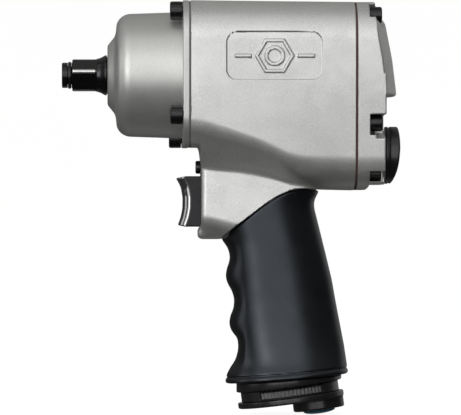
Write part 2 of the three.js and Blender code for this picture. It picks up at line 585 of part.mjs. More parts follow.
function regulatorKnob() {
  const { x0, x1, radius } = KNOB;
  const edge = [[x0, 0], [x0, radius - 0.8], [x0 + 0.8, radius], [x1 - 3.1, radius], [x1 - 1.4, 13.2]];
  const dial = turned([...edge, [x1 - 0.9, 0]], 24);
  const bar = [[x0 + 1, -9], [x0 + 1, 13], [x1 - 1.2, 14.1], [x1, 9], [x1, -8], [x1 - 2.6, -12.6]];
  const grip = plateY(polygon(bar), -3.3, 3.3);
  const spoolSocket = cut(rod(x0 - 1, x0 + 2.8, 6.3, 0, 0, 24), box(x0 - 2, x0 + 4, 3.8, 8, -9, 9));
  const recess = rod(KNOB_SCREW.seat - 0.2, 180, KNOB_SCREW.head + GAP, 0, 0, 16);
  return cut(union(dial, grip), spoolSocket, rod(160, 180, 2, 0, 0, 12), recess).translate([0, 0, VALVE.z]);
}
add('reverse_valve_bushing', valveBushing(), bronze());
add('reverse_valve', reverseValve(), steel());

function valveRing() {
  const { x0, x1, inner, outer } = VALVE_RING;
  return tube(x0, x1, inner, outer, 24).translate([0, 0, VALVE.z]);
}
add('valve_o_ring', valveRing(), rubber());
add('regulator_knob', regulatorKnob(), plastic());

function knobScrew() {
  const { x1, seat, head, shank, tip } = KNOB_SCREW;
  return union(rod(seat, x1, head, 0, VALVE.z, 16), rod(tip, seat + 0.1, shank, 0, VALVE.z, 12));
}
add('knob_screw', knobScrew(), black());

// ---- trigger and throttle ----
const TRIGGER_FACE = [[58.7, -53], [61.2, -57.6], [62.1, -63], [62, -68.5], [61, -73], [59.7, -76.9]];

function trigger() {
  const face = smooth(TRIGGER_FACE, 12);
  const side = polygon([...face, [63.3, -77.8], [TRIGGER.rear, -78], [TRIGGER.rear, -52], [63.8, -52.1]]);
  const body = plateY(side, -TRIGGER.half, TRIGGER.half);
  const plan = roundedRect(-TRIGGER.half, TRIGGER.half, 57, 90, 5);
  const options = { depth: 60, bevelEnabled: false, curveSegments: 6 };
  const rounded = solid(new THREE.ExtrudeGeometry(plan, options));
  const limit = rounded.rotate([0, 0, -90]).translate([0, 0, -95]);
  const pinSocket = rod(TRIGGER.rear - 6, TRIGGER.rear + 1, TRIGGER.pin + GAP, 0, TRIGGER.z, 14);
  return cut(body.intersect(limit), pinSocket);
}

function throttleValve() {
  const disc = rodZ(THROTTLE.discTop - 3, THROTTLE.discTop, THROTTLE.disc, INLET.u, 0);
  const stem = rodZ(THROTTLE.discTop - 0.5, THROTTLE.stemTop, THROTTLE.stem, INLET.u, 0, 12);
  return union(disc, stem);
}

function throttleSpring() {
  const turns = 5;
  const [low, high, radius] = [46, 65.2, 4.6];
  class Helix extends THREE.Curve {
    getPoint(t, target = new THREE.Vector3()) {
      const angle = 2 * Math.PI * turns * t;
      return target.set(radius * Math.cos(angle), radius * Math.sin(angle), low + (high - low) * t);
    }
  }
  const wire = new THREE.Shape();
  wire.absarc(0, 0, 0.6, 0, 2 * Math.PI);
  const options = { steps: turns * 7, extrudePath: new Helix(), curveSegments: 2 };
  return solid(new THREE.ExtrudeGeometry(wire, options)).translate([INLET.u, 0, 0]);
}

function throttleSeat() {
  const seat = THROTTLE.discTop + 0.4;
  return tubeZ(seat, seat + 2.4, 4.4, THROTTLE.bore - GAP, 24).translate([INLET.u, 0, 0]);
}

function inletScreen() {
  const cup = cut(rodZ(15.4, 19, 7.1, 0, 0), rodZ(14, 18.2, 6.3, 0, 0));
  const mesh = [-3.4, 0, 3.4].flatMap((x) => [-3.4, 0, 3.4].map((y) => rodZ(17, 20, 1.2, x, y, 4)));
  return cut(cup, ...mesh).translate([INLET.u, 0, 0]);
}

add('trigger', trigger(), plastic());
add('trigger_pin', rod(TRIGGER.rear - 5.5, TRIGGER.pinEnd, TRIGGER.pin, 0, TRIGGER.z, 14), steel());
add('throttle_valve', throttleValve(), steel(), handle);
add('throttle_spring', throttleSpring(), steel(), handle);
add('throttle_seat', throttleSeat(), bronze(), handle);
add('inlet_screen', inletScreen(), steel(), handle);

// ---- rubber grip ----
function gripSleeve() {
  const outside = handleLoft(GRIP_SECTIONS, 2.4).intersect(belowGrip(GAP)).intersect(aboveLip(0.2));
  const core = handleLoft(CORE_SECTIONS, 2.6, GAP);
  const chin = box(70, 82.5, -11, 11, -83.4, -70);
  return cut(outside, core, chin);
}
add('grip_sleeve', gripSleeve(), rubber());

// ---- round base: collar, exhaust ring, cap and air inlet ----
function exhaustCollar() {
  const disc = rodZ(1.3, 9, BASE_R.collar, 0, 0, 22);
  const lip = aboveLip(-0.2).translate([-BASE.x, 0, -BASE.z]).rotate([0, BASE.tilt, 0]);
  const exhaustHole = rodZ(0, 12, 13, -7.5, 0, 22);
  return cut(disc, lip, exhaustHole, rodZ(0, 12, INLET.bush + GAP, INLET.u, 0));
}

function deflectorRing() {
  const ring = tubeZ(-3.9, 1, BASE_R.ringInner, BASE_R.ring, 32);
  const window = plateY(polygon([[0, 0], [-40, -54], [40, -54]]), -3.1, 0.3);
  return cut(ring, window.rotate([-90, 0, 0]).translate([0, 0, -1.4]));
}

function exhaustDiffuser() {
  const ribs = 28;
  const drum = tubeZ(-3.9, 1, BASE_R.drumInner, BASE_R.drum, ribs);
  const slots = Array.from({ length: ribs / 2 }, (_, k) => {
    const slot = box(20, 26, -0.7, 0.7, -3.2, 0.3);
    return slot.rotate([0, 0, (360 / ribs) * 2 * k]);
  });
  return cut(drum, ...slots);
}

function baseCap() {
  const rim = [[0, -7.2], [26.2, -7.2], [BASE_R.cap, -6.2], [BASE_R.cap, -4.8], [26.8, -4.2], [0, -4.2]];
  const boss = [[0, INLET.bottom], [12.4, INLET.bottom], [INLET.boss, -11.9], [INLET.boss, -6], [0, -6]];
  const body = union(turnedZ(rim, 22), turnedZ(boss, 24).translate([INLET.u, 0, 0]));
  const shoulder = rodZ(-20, -5.9, 9.8, INLET.u, 0);
  return cut(body, shoulder, rodZ(-20, 0, INLET.bush + GAP, INLET.u, 0));
}

function inletBushing() {
  const outside = [[INLET.bore, -12.5], [9.5, -12.5], [9.5, -6.2], [INLET.bush, -6.2], [INLET.bush, 14]];
  return turnedZ([...outside, [INLET.bore, 14], [INLET.bore, -12.5]], 22).translate([INLET.u, 0, 0]);
}

function dustPlug() {
  const head = [[0, -14.9], [5, -14.5], [7.8, -13.8], [8.3, -13.3], [8.3, -12.8]];
  const stem = [[4.9, -12.8], [4.9, -3.5], [4.3, -3], [0, -3]];
  return turnedZ([...head, ...stem], 22).translate([INLET.u, 0, 0]);
}

function silencer() {
  const pad = rodZ(-3.8, 0.9, BASE_R.drumInner - 0.4, 0, 0, 36);
  return cut(pad, rodZ(-6, 3, INLET.bush + GAP, INLET.u, 0), rodZ(-6, -1.5, 8, -8, 0));
}

add('exhaust_collar', exhaustCollar(), plastic(), handle);
add('exhaust_deflector_ring', deflectorRing(), plastic(), handle);
add('exhaust_diffuser', exhaustDiffuser(), felt(), handle);
add('exhaust_silencer', silencer(), felt(), handle);
add('handle_base_cap', baseCap(), plastic(), handle);
add('inlet_bushing', inletBushing(), black(), handle);
add('inlet_dust_plug', dustPlug(), blue(), handle);

export default assembly;
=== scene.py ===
import json
import math
import bmesh
import bpy
import numpy as np
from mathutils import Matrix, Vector


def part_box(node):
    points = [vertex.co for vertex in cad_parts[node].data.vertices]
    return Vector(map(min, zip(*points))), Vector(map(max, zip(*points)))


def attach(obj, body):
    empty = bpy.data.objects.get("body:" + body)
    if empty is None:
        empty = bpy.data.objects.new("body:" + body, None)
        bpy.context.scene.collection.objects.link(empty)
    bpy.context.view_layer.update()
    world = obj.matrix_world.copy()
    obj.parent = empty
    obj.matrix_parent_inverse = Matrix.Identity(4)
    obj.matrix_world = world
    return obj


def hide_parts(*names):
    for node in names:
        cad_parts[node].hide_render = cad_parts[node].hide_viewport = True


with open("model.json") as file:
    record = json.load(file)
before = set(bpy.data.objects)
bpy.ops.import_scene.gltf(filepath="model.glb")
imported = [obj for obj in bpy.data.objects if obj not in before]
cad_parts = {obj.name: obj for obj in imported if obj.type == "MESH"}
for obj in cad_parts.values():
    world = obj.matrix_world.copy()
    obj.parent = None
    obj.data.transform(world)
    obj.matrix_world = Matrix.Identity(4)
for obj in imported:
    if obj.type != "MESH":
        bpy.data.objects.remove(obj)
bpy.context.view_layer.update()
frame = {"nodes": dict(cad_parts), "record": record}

# Pneumatic impact wrench. Shapes are worked out in millimetres in the CAD frame, then scaled to metres.
MM = 0.001
RECORD = frame["record"]

# ---- the main dimensions, in millimetres ----
BODY_FRONT, BODY_REAR, BODY_HALF = 65.9, 149.4, 37.0
LEAN_C, LEAN_S = math.cos(math.radians(7.6)), math.sin(math.radians(7.6))
BASE_X, BASE_Z = 117.1, -161.0
INLET_U = 13.8
VALVE_Z = -41.1
TRIGGER_Z = -65.0
OIL_PLUG_Z = -47.3
CASE_BORE, MOTOR_BORE = 29.2, 27.6
NECK_FRONT = 71.4
BASE_RADIUS = 27.35
HANDLE_POWER = 2.25  # how square the handle's oval section is: 2 is an ellipse
DRIVE_HALF, DRIVE_TURN = 6.35, 13.3  # half of the 1/2 inch square, and its turn in degrees
SCREW_RADIUS = 38.5  # the four case screws, from the motor's axis
CASE_SCREW_HOLE, COVER_SCREW_HOLE = 2.7, 2.8
CASE_SCREW = {"mouth": 55.3, "seat": 61.6, "head": 4.75, "shank": 2.4, "tip": 85.0}
COVER_SCREW = {"mouth": 163.2, "seat": 157.1, "head": 4.2, "shank": 2.5, "tip": 138.0}
COVER_SEAT = 156.8  # floor of the cover's screw pockets
# the body's section where the case and the cover meet it: x, then underside, top and lower corner radius
CASE_X, CASE_SECTION = 62.0, (-37.2, 37.9, 9.0)
COVER_X, COVER_SECTION = 150.0, (-59, 37.1, 10.5)
FRONT_SCREWS = [(-SCREW_RADIUS * math.cos(math.radians(57 + 90 * k)),
                 SCREW_RADIUS * math.sin(math.radians(57 + 90 * k))) for k in range(4)]
REAR_SCREWS = [(-25, 30), (25, 30), (-30, -25), (30, -25), (-18, -50.6), (18, -50.6)]
# tables of (x, value) along the body: its underside and lower corner radius
UNDERSIDE = [(60, -37), (70.7, -37), (71.7, -46.2), (73, -46.9), (86, -47.6), (91.6, -48.2), (102, -50.8),
             (107, -52.4), (117, -56.4), (122.5, -58.1), (133, -58.8), (152, -59.2), (175, -59.2)]
LOW_CORNER = [(60, 9), (70.5, 9), (73, 2), (112, 2), (122, 6), (135, 10.5), (152, 10.5)]
# the sloping flank below the flat side: where it starts, its fall in degrees below level,
# how far out it stands and the radius of its edge
FLANK_Z = [(60, -26.0), (70, -26.6), (86.5, -31.8), (102, -37.6), (110, -42.3), (117.4, -46.6), (125, -48.0),
           (152, -49.4)]
FLANK_FALL = [(60, 36), (70, 36), (86.5, 42), (102, 49), (117.4, 58), (152, 50)]
FLANK_OUT = [(60, 0), (112, 0), (130, 1.0), (152, 1.6)]
FLANK_EDGE = [(60, 2.4), (95, 3.0), (112, 4.5), (125, 6.5), (152, 7.5)]
# tables of (z, value) down the handle; GRIP_PEAKS is the front without its finger grooves
GRIP_FRONT = [(-40, 73), (-66, 77), (-85.4, 82.6), (-87.8, 84.9), (-92.3, 86.4), (-95.4, 86.3), (-99.4, 84.8),
              (-103.3, 84.2), (-107, 85.1), (-110.7, 87.4), (-114.9, 88.7), (-119.6, 88.4), (-123.8, 86.6),
              (-127.8, 86), (-131.7, 87.2), (-134.8, 90.1), (-138, 90.8), (-141.7, 90.7), (-146.4, 89.3),
              (-151.2, 86.1), (-154.8, 84.4), (-165, 84)]
GRIP_PEAKS = [(-40, 73), (-66, 77), (-85.4, 82.4), (-103.3, 84.2), (-127.8, 86), (-146.4, 87.6),
              (-151.2, 86.1), (-154.8, 84.4), (-165, 84)]
GRIP_REAR = [(-50, 134), (-58, 133), (-61, 131.6), (-64.5, 129.8), (-68, 129.8), (-79.9, 132.8),
             (-94.1, 136.3), (-105.3, 139), (-115.7, 140.8), (-126.1, 142.8), (-138.5, 145.2),
             (-151.2, 147.1), (-165, 147.4)]
GRIP_HALF = [(-40, 19.6), (-85, 20.2), (-116, 20.8), (-128, 21.6), (-138.6, 22.8), (-146.6, 24.8),
             (-151.2, 26.6), (-154.8, 28.3), (-160, 28.8)]
# the line where the rubber starts below the metal, as (x, z)
GRIP_TOP = [(60, -84.4), (80, -84.4), (82.2, -83.1), (87.3, -78.7), (96.1, -72.2), (105, -65.4),
            (110.9, -61.7), (116.8, -59.2), (123.9, -58.2), (130.4, -58.6), (136, -59.2), (160, -59.4)]
# the metal handle inside the grip
CORE_FRONT = [(-26, 74), (-83.4, 88.5), (-103, 90.4), (-128, 94), (-146, 95.6), (-160, 96)]
CORE_REAR = [(-26, 123), (-60, 124), (-83.4, 128.2), (-103, 133.2), (-128, 138.0), (-146, 141.4),
             (-160, 142.6)]
CORE_HALF = [(-26, 14), (-60, 14.6), (-83.4, 16.4), (-103, 17.2), (-128, 18.2), (-146, 20), (-160, 22)]


# ---- distance fields: negative inside, positive outside ----
def curve(t, points, soften=0.0):
    """A smoothed line through (t, value) pairs."""
    ts = np.array([p[0] for p in points], float)
    vs = np.array([p[1] for p in points], float)
    order = np.argsort(ts)
    ts, vs = ts[order], vs[order]
    if soften == 0:
        return np.interp(t, ts, vs)
    steps = 7
    total = 0
    for k in range(steps):
        total = total + np.interp(t + soften * (2 * k / (steps - 1) - 1), ts, vs)
    return total / steps


def inter(a, b, r=0.0):
    """Both at once, with the edge between them rounded to radius r."""
    if np.isscalar(r) and r == 0:
        return np.maximum(a, b)
    return np.minimum(-r, np.maximum(a, b)) + np.hypot(np.maximum(a + r, 0), np.maximum(b + r, 0))


def join(a, b, r=0.0):
    """Either, with a fillet of radius r in the corner between them."""
    return -inter(-a, -b, r)


def cut(a, b, r=0.0):
    return inter(a, -b, r)


def between(v, low, high):
    return np.maximum(low - v, v - high)


def rounded(a, b, half_a, half_b, r):
    """A rectangle about the origin with rounded corners."""
    qa, qb = np.abs(a) - half_a + r, np.abs(b) - half_b + r
    return np.minimum(np.maximum(qa, qb), 0) + np.hypot(np.maximum(qa, 0), np.maximum(qb, 0)) - r


def oval(a, b, half_a, half_b, power):
    """A squarish oval about the origin."""
    level = (np.abs(a / half_a) ** power + np.abs(b / half_b) ** power) ** (1 / power)
    return (level - 1) * np.minimum(half_a, half_b)


def round_x(y, z, at_y, at_z, radius):
    return np.hypot(y - at_y, z - at_z) - radius


def handle(x, z):
    """Distances across and up the leaning handle, from the middle of its base."""
    u = (x - BASE_X) * LEAN_C + (z - BASE_Z) * LEAN_S
    w = -(x - BASE_X) * LEAN_S + (z - BASE_Z) * LEAN_C
    return u, w


# ---- meshing a distance field ----
def skin(field, low, high, cell):
    """Vertices and quads of the surface where the field is zero, one vertex in each cell that it crosses."""
    axes = [np.arange(l - 1.5 * cell, h + 2.5 * cell, cell) for l, h in zip(low, high)]
    nx, ny, nz = (len(a) for a in axes)
    value = np.broadcast_to(field(axes[0][:, None, None], axes[1][None, :, None], axes[2][None, None, :]),
                            (nx, ny, nz))
    value = np.ascontiguousarray(value, dtype=np.float32)
    inside = value < 0
    total = np.zeros((3, nx * ny * nz))
    count = np.zeros(nx * ny * nz)
    strides = (ny * nz, nz, 1)
    edges = []
    for axis in range(3):
        a = [slice(None)] * 3
        b = [slice(None)] * 3
        a[axis], b[axis] = slice(0, -1), slice(1, None)
        i, j, k = np.nonzero(inside[tuple(a)] != inside[tuple(b)])
        far = [i, j, k]
        far[axis] = far[axis] + 1
        v0, v1 = value[i, j, k], value[far[0], far[1], far[2]]
        t = v0 / (v0 - v1)
        point = [axes[0][i], axes[1][j], axes[2][k]]
        point[axis] = point[axis] + t * cell
        cell_id = i * strides[0] + j * strides[1] + k
        p, q = [s for n, s in enumerate(strides) if n != axis]
        around = [cell_id - p - q, cell_id - q, cell_id, cell_id - p]
        for c in around:
            for n in range(3):
                total[n] += np.bincount(c, weights=point[n], minlength=total.shape[1])
            count += np.bincount(c, minlength=total.shape[1])
        flip = (v0 < 0) == (axis != 1)
        edges.append(np.where(flip[:, None], np.stack(around, 1), np.stack(around[::-1], 1)))
    used = np.nonzero(count)[0]
    number = np.zeros(len(count), np.int64)
    number[used] = np.arange(len(used))
    points = (total[:, used] / count[used]).T
    return points, number[np.concatenate(edges)]


def slope(field, points, step=0.04):
    grads = []
    for n in range(3):
        ahead, behind = points.copy(), points.copy()
        ahead[:, n] += step
        behind[:, n] -= step
        grads.append((field(*ahead.T) - field(*behind.T)) / (2 * step))
    return np.stack(grads, 1)


def settle(field, points, cell, rounds=3):
    """Moves points onto the surface."""
    for _ in range(rounds):
        grad = slope(field, points)
        size = (grad ** 2).sum(1) + 1e-9
        move = -(field(*points.T) / size)[:, None] * grad
        length = np.linalg.norm(move, axis=1, keepdims=True)
        points = points + move * np.minimum(1, 0.6 * cell / (length + 1e-9))
    return points


def new_object(name, points, faces, normals=None, sharp=None):
    mesh = bpy.data.meshes.new(name)
    mesh.from_pydata((np.asarray(points) * MM).tolist(), [], [list(map(int, f)) for f in faces])
    mesh.validate(clean_customdata=False)
    mesh.update()
    mesh.shade_smooth()
    if sharp is not None:
        mesh.set_sharp_from_angle(angle=math.radians(sharp))
    if normals is not None:
        mesh.normals_split_custom_set_from_vertices(normals.tolist())
    obj = bpy.data.objects.new(name, mesh)
    bpy.context.scene.collection.objects.link(obj)
    return obj


def carve(name, field, low, high, cell, share):
    """A piece whose surface is the zero level of a field, thinned where it is flat."""
    points, faces = skin(field, low, high, cell)
    points = settle(field, points, cell)
    obj = new_object(name, points, faces)
    thin = obj.modifiers.new("thin", "DECIMATE")
    thin.ratio = share
    bpy.context.view_layer.objects.active = obj
    bpy.context.view_layer.update()
    shown = obj.evaluated_get(bpy.context.evaluated_depsgraph_get())
    mesh = bpy.data.meshes.new_from_object(shown)
    obj.modifiers.clear()
    old = obj.data
    obj.data = mesh
    bpy.data.meshes.remove(old)
    mesh.name = name
    co = np.zeros(len(mesh.vertices) * 3)
    mesh.vertices.foreach_get("co", co)
    points = settle(field, co.reshape(-1, 3) / MM, cell, 2)
    mesh.vertices.foreach_set("co", (points * MM).ravel())
    normals = slope(field, points, 0.12)
    normals /= np.linalg.norm(normals, axis=1, keepdims=True) + 1e-9
    mesh.update()
    mesh.shade_smooth()
    mesh.normals_split_custom_set_from_vertices(normals.tolist())
    return obj


def spun(name, rings, sharp=32):
    """A closed piece from rings of points, each the same count, with both ends closed by a fan."""
    count = len(rings[0])
    points = [p for ring in rings for p in ring]
    faces = []
    for a in range(len(rings) - 1):
        for k in range(count):
            m = (k + 1) % count
            faces.append((a * count + k, a * count + m, (a + 1) * count + m, (a + 1) * count + k))
    for ring, start, turn in ((rings[0], 0, False), (rings[-1], (len(rings) - 1) * count, True)):
        middle = np.mean(np.array(ring), axis=0)
        points.append(tuple(middle))
        top = len(points) - 1
        for k in range(count):
            m = (k + 1) % count
            faces.append((top, start + k, start + m) if turn else (top, start + m, start + k))
    obj = new_object(name, points, faces, sharp=None)
    tidy_normals(obj.data, sharp)
    return obj


def looped(name, rings, sharp=32):
    """A closed ring-shaped piece: the last ring joins the first."""
    count = len(rings[0])
    points = [p for ring in rings for p in ring]
    faces = []
    for a in range(len(rings)):
        b = (a + 1) % len(rings)
        for k in range(count):
            m = (k + 1) % count
            faces.append((a * count + k, a * count + m, b * count + m, b * count + k))
    obj = new_object(name, points, faces, sharp=None)
    tidy_normals(obj.data, sharp)
    return obj


def tidy_normals(mesh, sharp):
    bm = bmesh.new()
    bm.from_mesh(mesh)
    bmesh.ops.remove_doubles(bm, verts=bm.verts, dist=1e-7)
    bmesh.ops.recalc_face_normals(bm, faces=bm.faces)
    bm.to_mesh(mesh)
    bm.free()
    mesh.shade_smooth()
    mesh.set_sharp_from_angle(angle=math.radians(sharp))


def circle_x(x, radius, at_y=0.0, at_z=0.0, count=96, shape=None):
    """A ring round an axis along X; shape gives the radius at each angle where it isn't round."""
    ring = []
    for k in range(count):
        angle = 2 * math.pi * k / count
        r = radius if shape is None else shape(angle) * radius
        ring.append((x, at_y + r * math.cos(angle), at_z + r * math.sin(angle)))
    return ring


def circle_w(w, radius, at_u=0.0, count=96, shape=None):
    """A ring round an axis that runs up the handle."""
    ring = []
    for k in range(count):
        angle = 2 * math.pi * k / count
        r = radius if shape is None else shape(angle) * radius
        u = at_u + r * math.cos(angle)
        ring.append((BASE_X + u * LEAN_C - w * LEAN_S, r * math.sin(angle), BASE_Z + u * LEAN_S + w * LEAN_C))
    return ring


def plate(name, x0, x1, outline, holes):
    """A flat sheet across X with holes through it."""
    bm = bmesh.new()
    edges = []
    for loop in [outline] + holes:
        verts = [bm.verts.new((x0 * MM, y * MM, z * MM)) for y, z in loop]
        edges += [bm.edges.new((verts[k], verts[(k + 1) % len(verts)])) for k in range(len(verts))]
    bmesh.ops.triangle_fill(bm, use_beauty=True, use_dissolve=False, edges=edges)
    made = bmesh.ops.extrude_face_region(bm, geom=list(bm.faces))
    moved = [v for v in made["geom"] if isinstance(v, bmesh.types.BMVert)]
    bmesh.ops.translate(bm, verts=moved, vec=((x1 - x0) * MM, 0, 0))
    bmesh.ops.recalc_face_normals(bm, faces=bm.faces)
    mesh = bpy.data.meshes.new(name)
    bm.to_mesh(mesh)
    bm.free()
    mesh.shade_smooth()
    mesh.set_sharp_from_angle(angle=math.radians(30))
    obj = bpy.data.objects.new(name, mesh)
    bpy.context.scene.collection.objects.link(obj)
    return obj


# ---- materials ----
class Shader:
    """A material as a short chain of nodes over the object's own coordinates."""

    def __init__(self, name, metallic=0.0, coat=0.0, coat_roughness=0.1, specular=0.5):
        self.material = bpy.data.materials.new(name)
        self.material.use_nodes = True
        self.tree = self.material.node_tree
        self.surface = self.tree.nodes["Principled BSDF"]
        self.surface.inputs["Metallic"].default_value = metallic
        self.surface.inputs["Coat Weight"].default_value = coat
        self.surface.inputs["Coat Roughness"].default_value = coat_roughness
        self.surface.inputs["Specular IOR Level"].default_value = specular
        self.place = self.node("ShaderNodeTexCoord").outputs["Object"]

    def node(self, kind, **settings):
        made = self.tree.nodes.new(kind)
        for key, value in settings.items():
            setattr(made, key, value)
        return made

    def stretch(self, scale):
        mapping = self.node("ShaderNodeMapping")
        mapping.inputs["Scale"].default_value = scale
        self.tree.links.new(self.place, mapping.inputs["Vector"])
        return mapping.outputs["Vector"]

    def noise(self, per_metre, detail=3.0, rough=0.55, vector=None):
        made = self.node("ShaderNodeTexNoise")
        made.inputs["Scale"].default_value = per_metre
        made.inputs["Detail"].default_value = detail
        made.inputs["Roughness"].default_value = rough
        self.tree.links.new(vector or self.place, made.inputs["Vector"])
        return made.outputs["Fac"]

    def flakes(self, per_metre):
        made = self.node("ShaderNodeTexVoronoi")
        made.inputs["Scale"].default_value = per_metre
        self.tree.links.new(self.place, made.inputs["Vector"])
        split = self.node("ShaderNodeSeparateColor")
        self.tree.links.new(made.outputs["Color"], split.inputs["Color"])
        return split.outputs["Red"]

    def ramp(self, value, low, high, start=0.3, end=0.7):
        made = self.node("ShaderNodeValToRGB")
        made.color_ramp.elements[0].position = start
        made.color_ramp.elements[1].position = end
        made.color_ramp.elements[0].color = (*low, 1)
        made.color_ramp.elements[1].color = (*high, 1)
        self.tree.links.new(value, made.inputs["Fac"])
        return made.outputs["Color"]

    def blend(self, factor, a, b):
        made = self.node("ShaderNodeMix", data_type="RGBA")
        self.tree.links.new(factor, made.inputs["Factor"])
        self.tree.links.new(a, made.inputs["A"])
        self.tree.links.new(b, made.inputs["B"])
        return made.outputs["Result"]

    def scalar(self, value, low, high):
        made = self.node("ShaderNodeMapRange")
        made.inputs["From Min"].default_value = 0.3
        made.inputs["From Max"].default_value = 0.7
        made.inputs["To Min"].default_value = low
        made.inputs["To Max"].default_value = high
        self.tree.links.new(value, made.inputs["Value"])
        return made.outputs["Result"]

    def maths(self, operation, a, b=None):
        made = self.node("ShaderNodeMath", operation=operation)
        for value, socket in zip((a, b), made.inputs):
            if isinstance(value, (int, float)):
                socket.default_value = value
            elif value is not None:
                self.tree.links.new(value, socket)
        return made.outputs["Value"]

    def step(self, value, start, end):
        """Rises from 0 at start to 1 at end; the other way round if start is the larger."""
        made = self.node("ShaderNodeMapRange")
        made.inputs["From Min"].default_value = start
        made.inputs["From Max"].default_value = end
        self.tree.links.new(value, made.inputs["Value"])
        return made.outputs["Result"]

    def colour(self, socket):
        self.tree.links.new(socket, self.surface.inputs["Base Color"])

    def roughness(self, socket):
        self.tree.links.new(socket, self.surface.inputs["Roughness"])

    def bump(self, heights):
        """Each height is (socket, distance in mm, strength)."""
        normal = None
        for socket, depth, strength in heights:
            made = self.node("ShaderNodeBump")
            made.inputs["Distance"].default_value = depth * MM
            made.inputs["Strength"].default_value = strength
            self.tree.links.new(socket, made.inputs["Height"])
            if normal is not None:
                self.tree.links.new(normal, made.inputs["Normal"])
            normal = made.outputs["Normal"]
        self.tree.links.new(normal, self.surface.inputs["Normal"])


def worn(name, dark, light, metallic, roughness, grain, bump, coat=0.0, specular=0.5, tint=None, stretch=None,
         coat_roughness=0.12, flake=None, glint=None):
    """The common recipe: two-scale colour mottling, roughness that follows it, and a fine surface grain."""
    s = Shader(name, metallic, coat, coat_roughness, specular)
    if glint:
        s.surface.inputs["Specular Tint"].default_value = (*glint, 1)
    vector = s.stretch(stretch) if stretch else None
    fine = s.noise(grain, 2.0, 0.6, vector)
    broad = s.noise(45.0, 4.0)
    base = s.ramp(fine, dark, light)
    if flake:
        base = s.blend(s.scalar(s.flakes(flake), 0.0, 0.3), base, s.ramp(broad, light, tint or light))
    smudge = s.ramp(broad, dark, tint or light)
    s.colour(s.blend(s.scalar(broad, 0.1, 0.35), base, smudge))
    s.roughness(s.scalar(s.noise(130.0, 5.0), roughness[0], roughness[1]))
    s.bump([(fine, bump[0], bump[1]), (broad, 0.15, 0.05)])
    return s.material


MATERIALS = {
    "silver_paint": worn("cast_silver_paint", (0.56, 0.56, 0.55), (0.86, 0.86, 0.85), 0.82, (0.40, 0.50),
                         2300.0, (0.05, 0.5), tint=(0.76, 0.76, 0.745), flake=1500.0),
    "clear_metal": worn("satin_alloy", (0.58, 0.58, 0.565), (0.72, 0.72, 0.705), 0.78, (0.40, 0.48), 2100.0,
                        (0.04, 0.35), tint=(0.64, 0.64, 0.625)),
    "black_steel": worn("black_oxide_steel", (0.014, 0.014, 0.016), (0.042, 0.042, 0.045), 0.85, (0.22, 0.36),
                        1500.0, (0.03, 0.3), coat=0.25, tint=(0.050, 0.048, 0.047)),
    "machined_steel": worn("ground_steel", (0.36, 0.37, 0.38), (0.56, 0.57, 0.58), 1.0, (0.22, 0.38), 1800.0,
                           (0.02, 0.3), tint=(0.48, 0.47, 0.45), stretch=(1.0, 6.0, 6.0)),
    "bronze": worn("sintered_bronze", (0.34, 0.21, 0.09), (0.55, 0.37, 0.17), 1.0, (0.34, 0.5), 1900.0,
                   (0.03, 0.4), tint=(0.40, 0.26, 0.13)),
    "black_plastic": worn("moulded_black_plastic", (0.006, 0.006, 0.007), (0.014, 0.014, 0.016), 0.0,
                          (0.26, 0.40), 2200.0, (0.02, 0.25), coat=0.3, tint=(0.018, 0.018, 0.020),
                          coat_roughness=0.16),
    "black_rubber": worn("soft_black_rubber", (0.0022, 0.0024, 0.003), (0.005, 0.0055, 0.007), 0.0,
                         (0.28, 0.36), 1700.0, (0.02, 0.15), specular=0.68, tint=(0.0065, 0.007, 0.010),
                         glint=(0.82, 0.9, 1)),
    "seal_rubber": worn("seal_rubber", (0.008, 0.008, 0.008), (0.020, 0.020, 0.020), 0.0, (0.4, 0.6), 1500.0,
                        (0.02, 0.3)),
    "gasket_fibre": worn("gasket_fibre", (0.060, 0.030, 0.028), (0.15, 0.085, 0.078), 0.0, (0.75, 0.95),
                         2600.0, (0.05, 0.6)),
    "vane_resin": worn("vane_resin", (0.10, 0.055, 0.025), (0.20, 0.12, 0.06), 0.0, (0.5, 0.7), 1500.0,
                       (0.03, 0.4), stretch=(8.0, 1.0, 1.0)),
    "grey_diffuser": worn("grey_diffuser", (0.10, 0.096, 0.102), (0.22, 0.21, 0.22), 0.0, (0.40, 0.60),
                          2400.0, (0.05, 0.6)),
    "grey_felt": worn("grey_felt", (0.10, 0.097, 0.10), (0.22, 0.21, 0.215), 0.0, (0.85, 1.0), 2600.0,
                      (0.12, 0.9)),
    "blue_plastic": worn("blue_plastic", (0.010, 0.095, 0.17), (0.016, 0.13, 0.22), 0.0, (0.16, 0.28), 1500.0,
                         (0.02, 0.2), coat=0.5, tint=(0.020, 0.15, 0.25)),
}
GREY_GASKET = worn("grey_gasket", (0.10, 0.10, 0.10), (0.22, 0.22, 0.215), 0.0, (0.7, 0.9), 2600.0,
                   (0.04, 0.5))


def polished_trigger():
    """Black plastic that fingers have polished along its rounded front corners, which a glossy coat shows."""
    s = Shader("polished_black_plastic", specular=0.3)
    grain = s.noise(1500.0, 2.0, 0.6)
    split = s.node("ShaderNodeSeparateXYZ")
    s.tree.links.new(s.place, split.inputs["Vector"])
    off = s.maths("ABSOLUTE", split.outputs["Y"])
    s.colour(s.ramp(grain, (0.007, 0.0068, 0.009), (0.016, 0.0155, 0.020)))
    corner = s.step(off, 3.6 * MM, 4.6 * MM)
    side = s.step(off, 8.97 * MM, 8.75 * MM)
    s.tree.links.new(s.maths("MULTIPLY", corner, side), s.surface.inputs["Coat Weight"])
    s.surface.inputs["Coat IOR"].default_value = 4.0
    s.roughness(s.scalar(s.noise(130.0, 5.0), 0.22, 0.30))
    s.bump([(grain, 0.02, 0.06)])
    return s.material


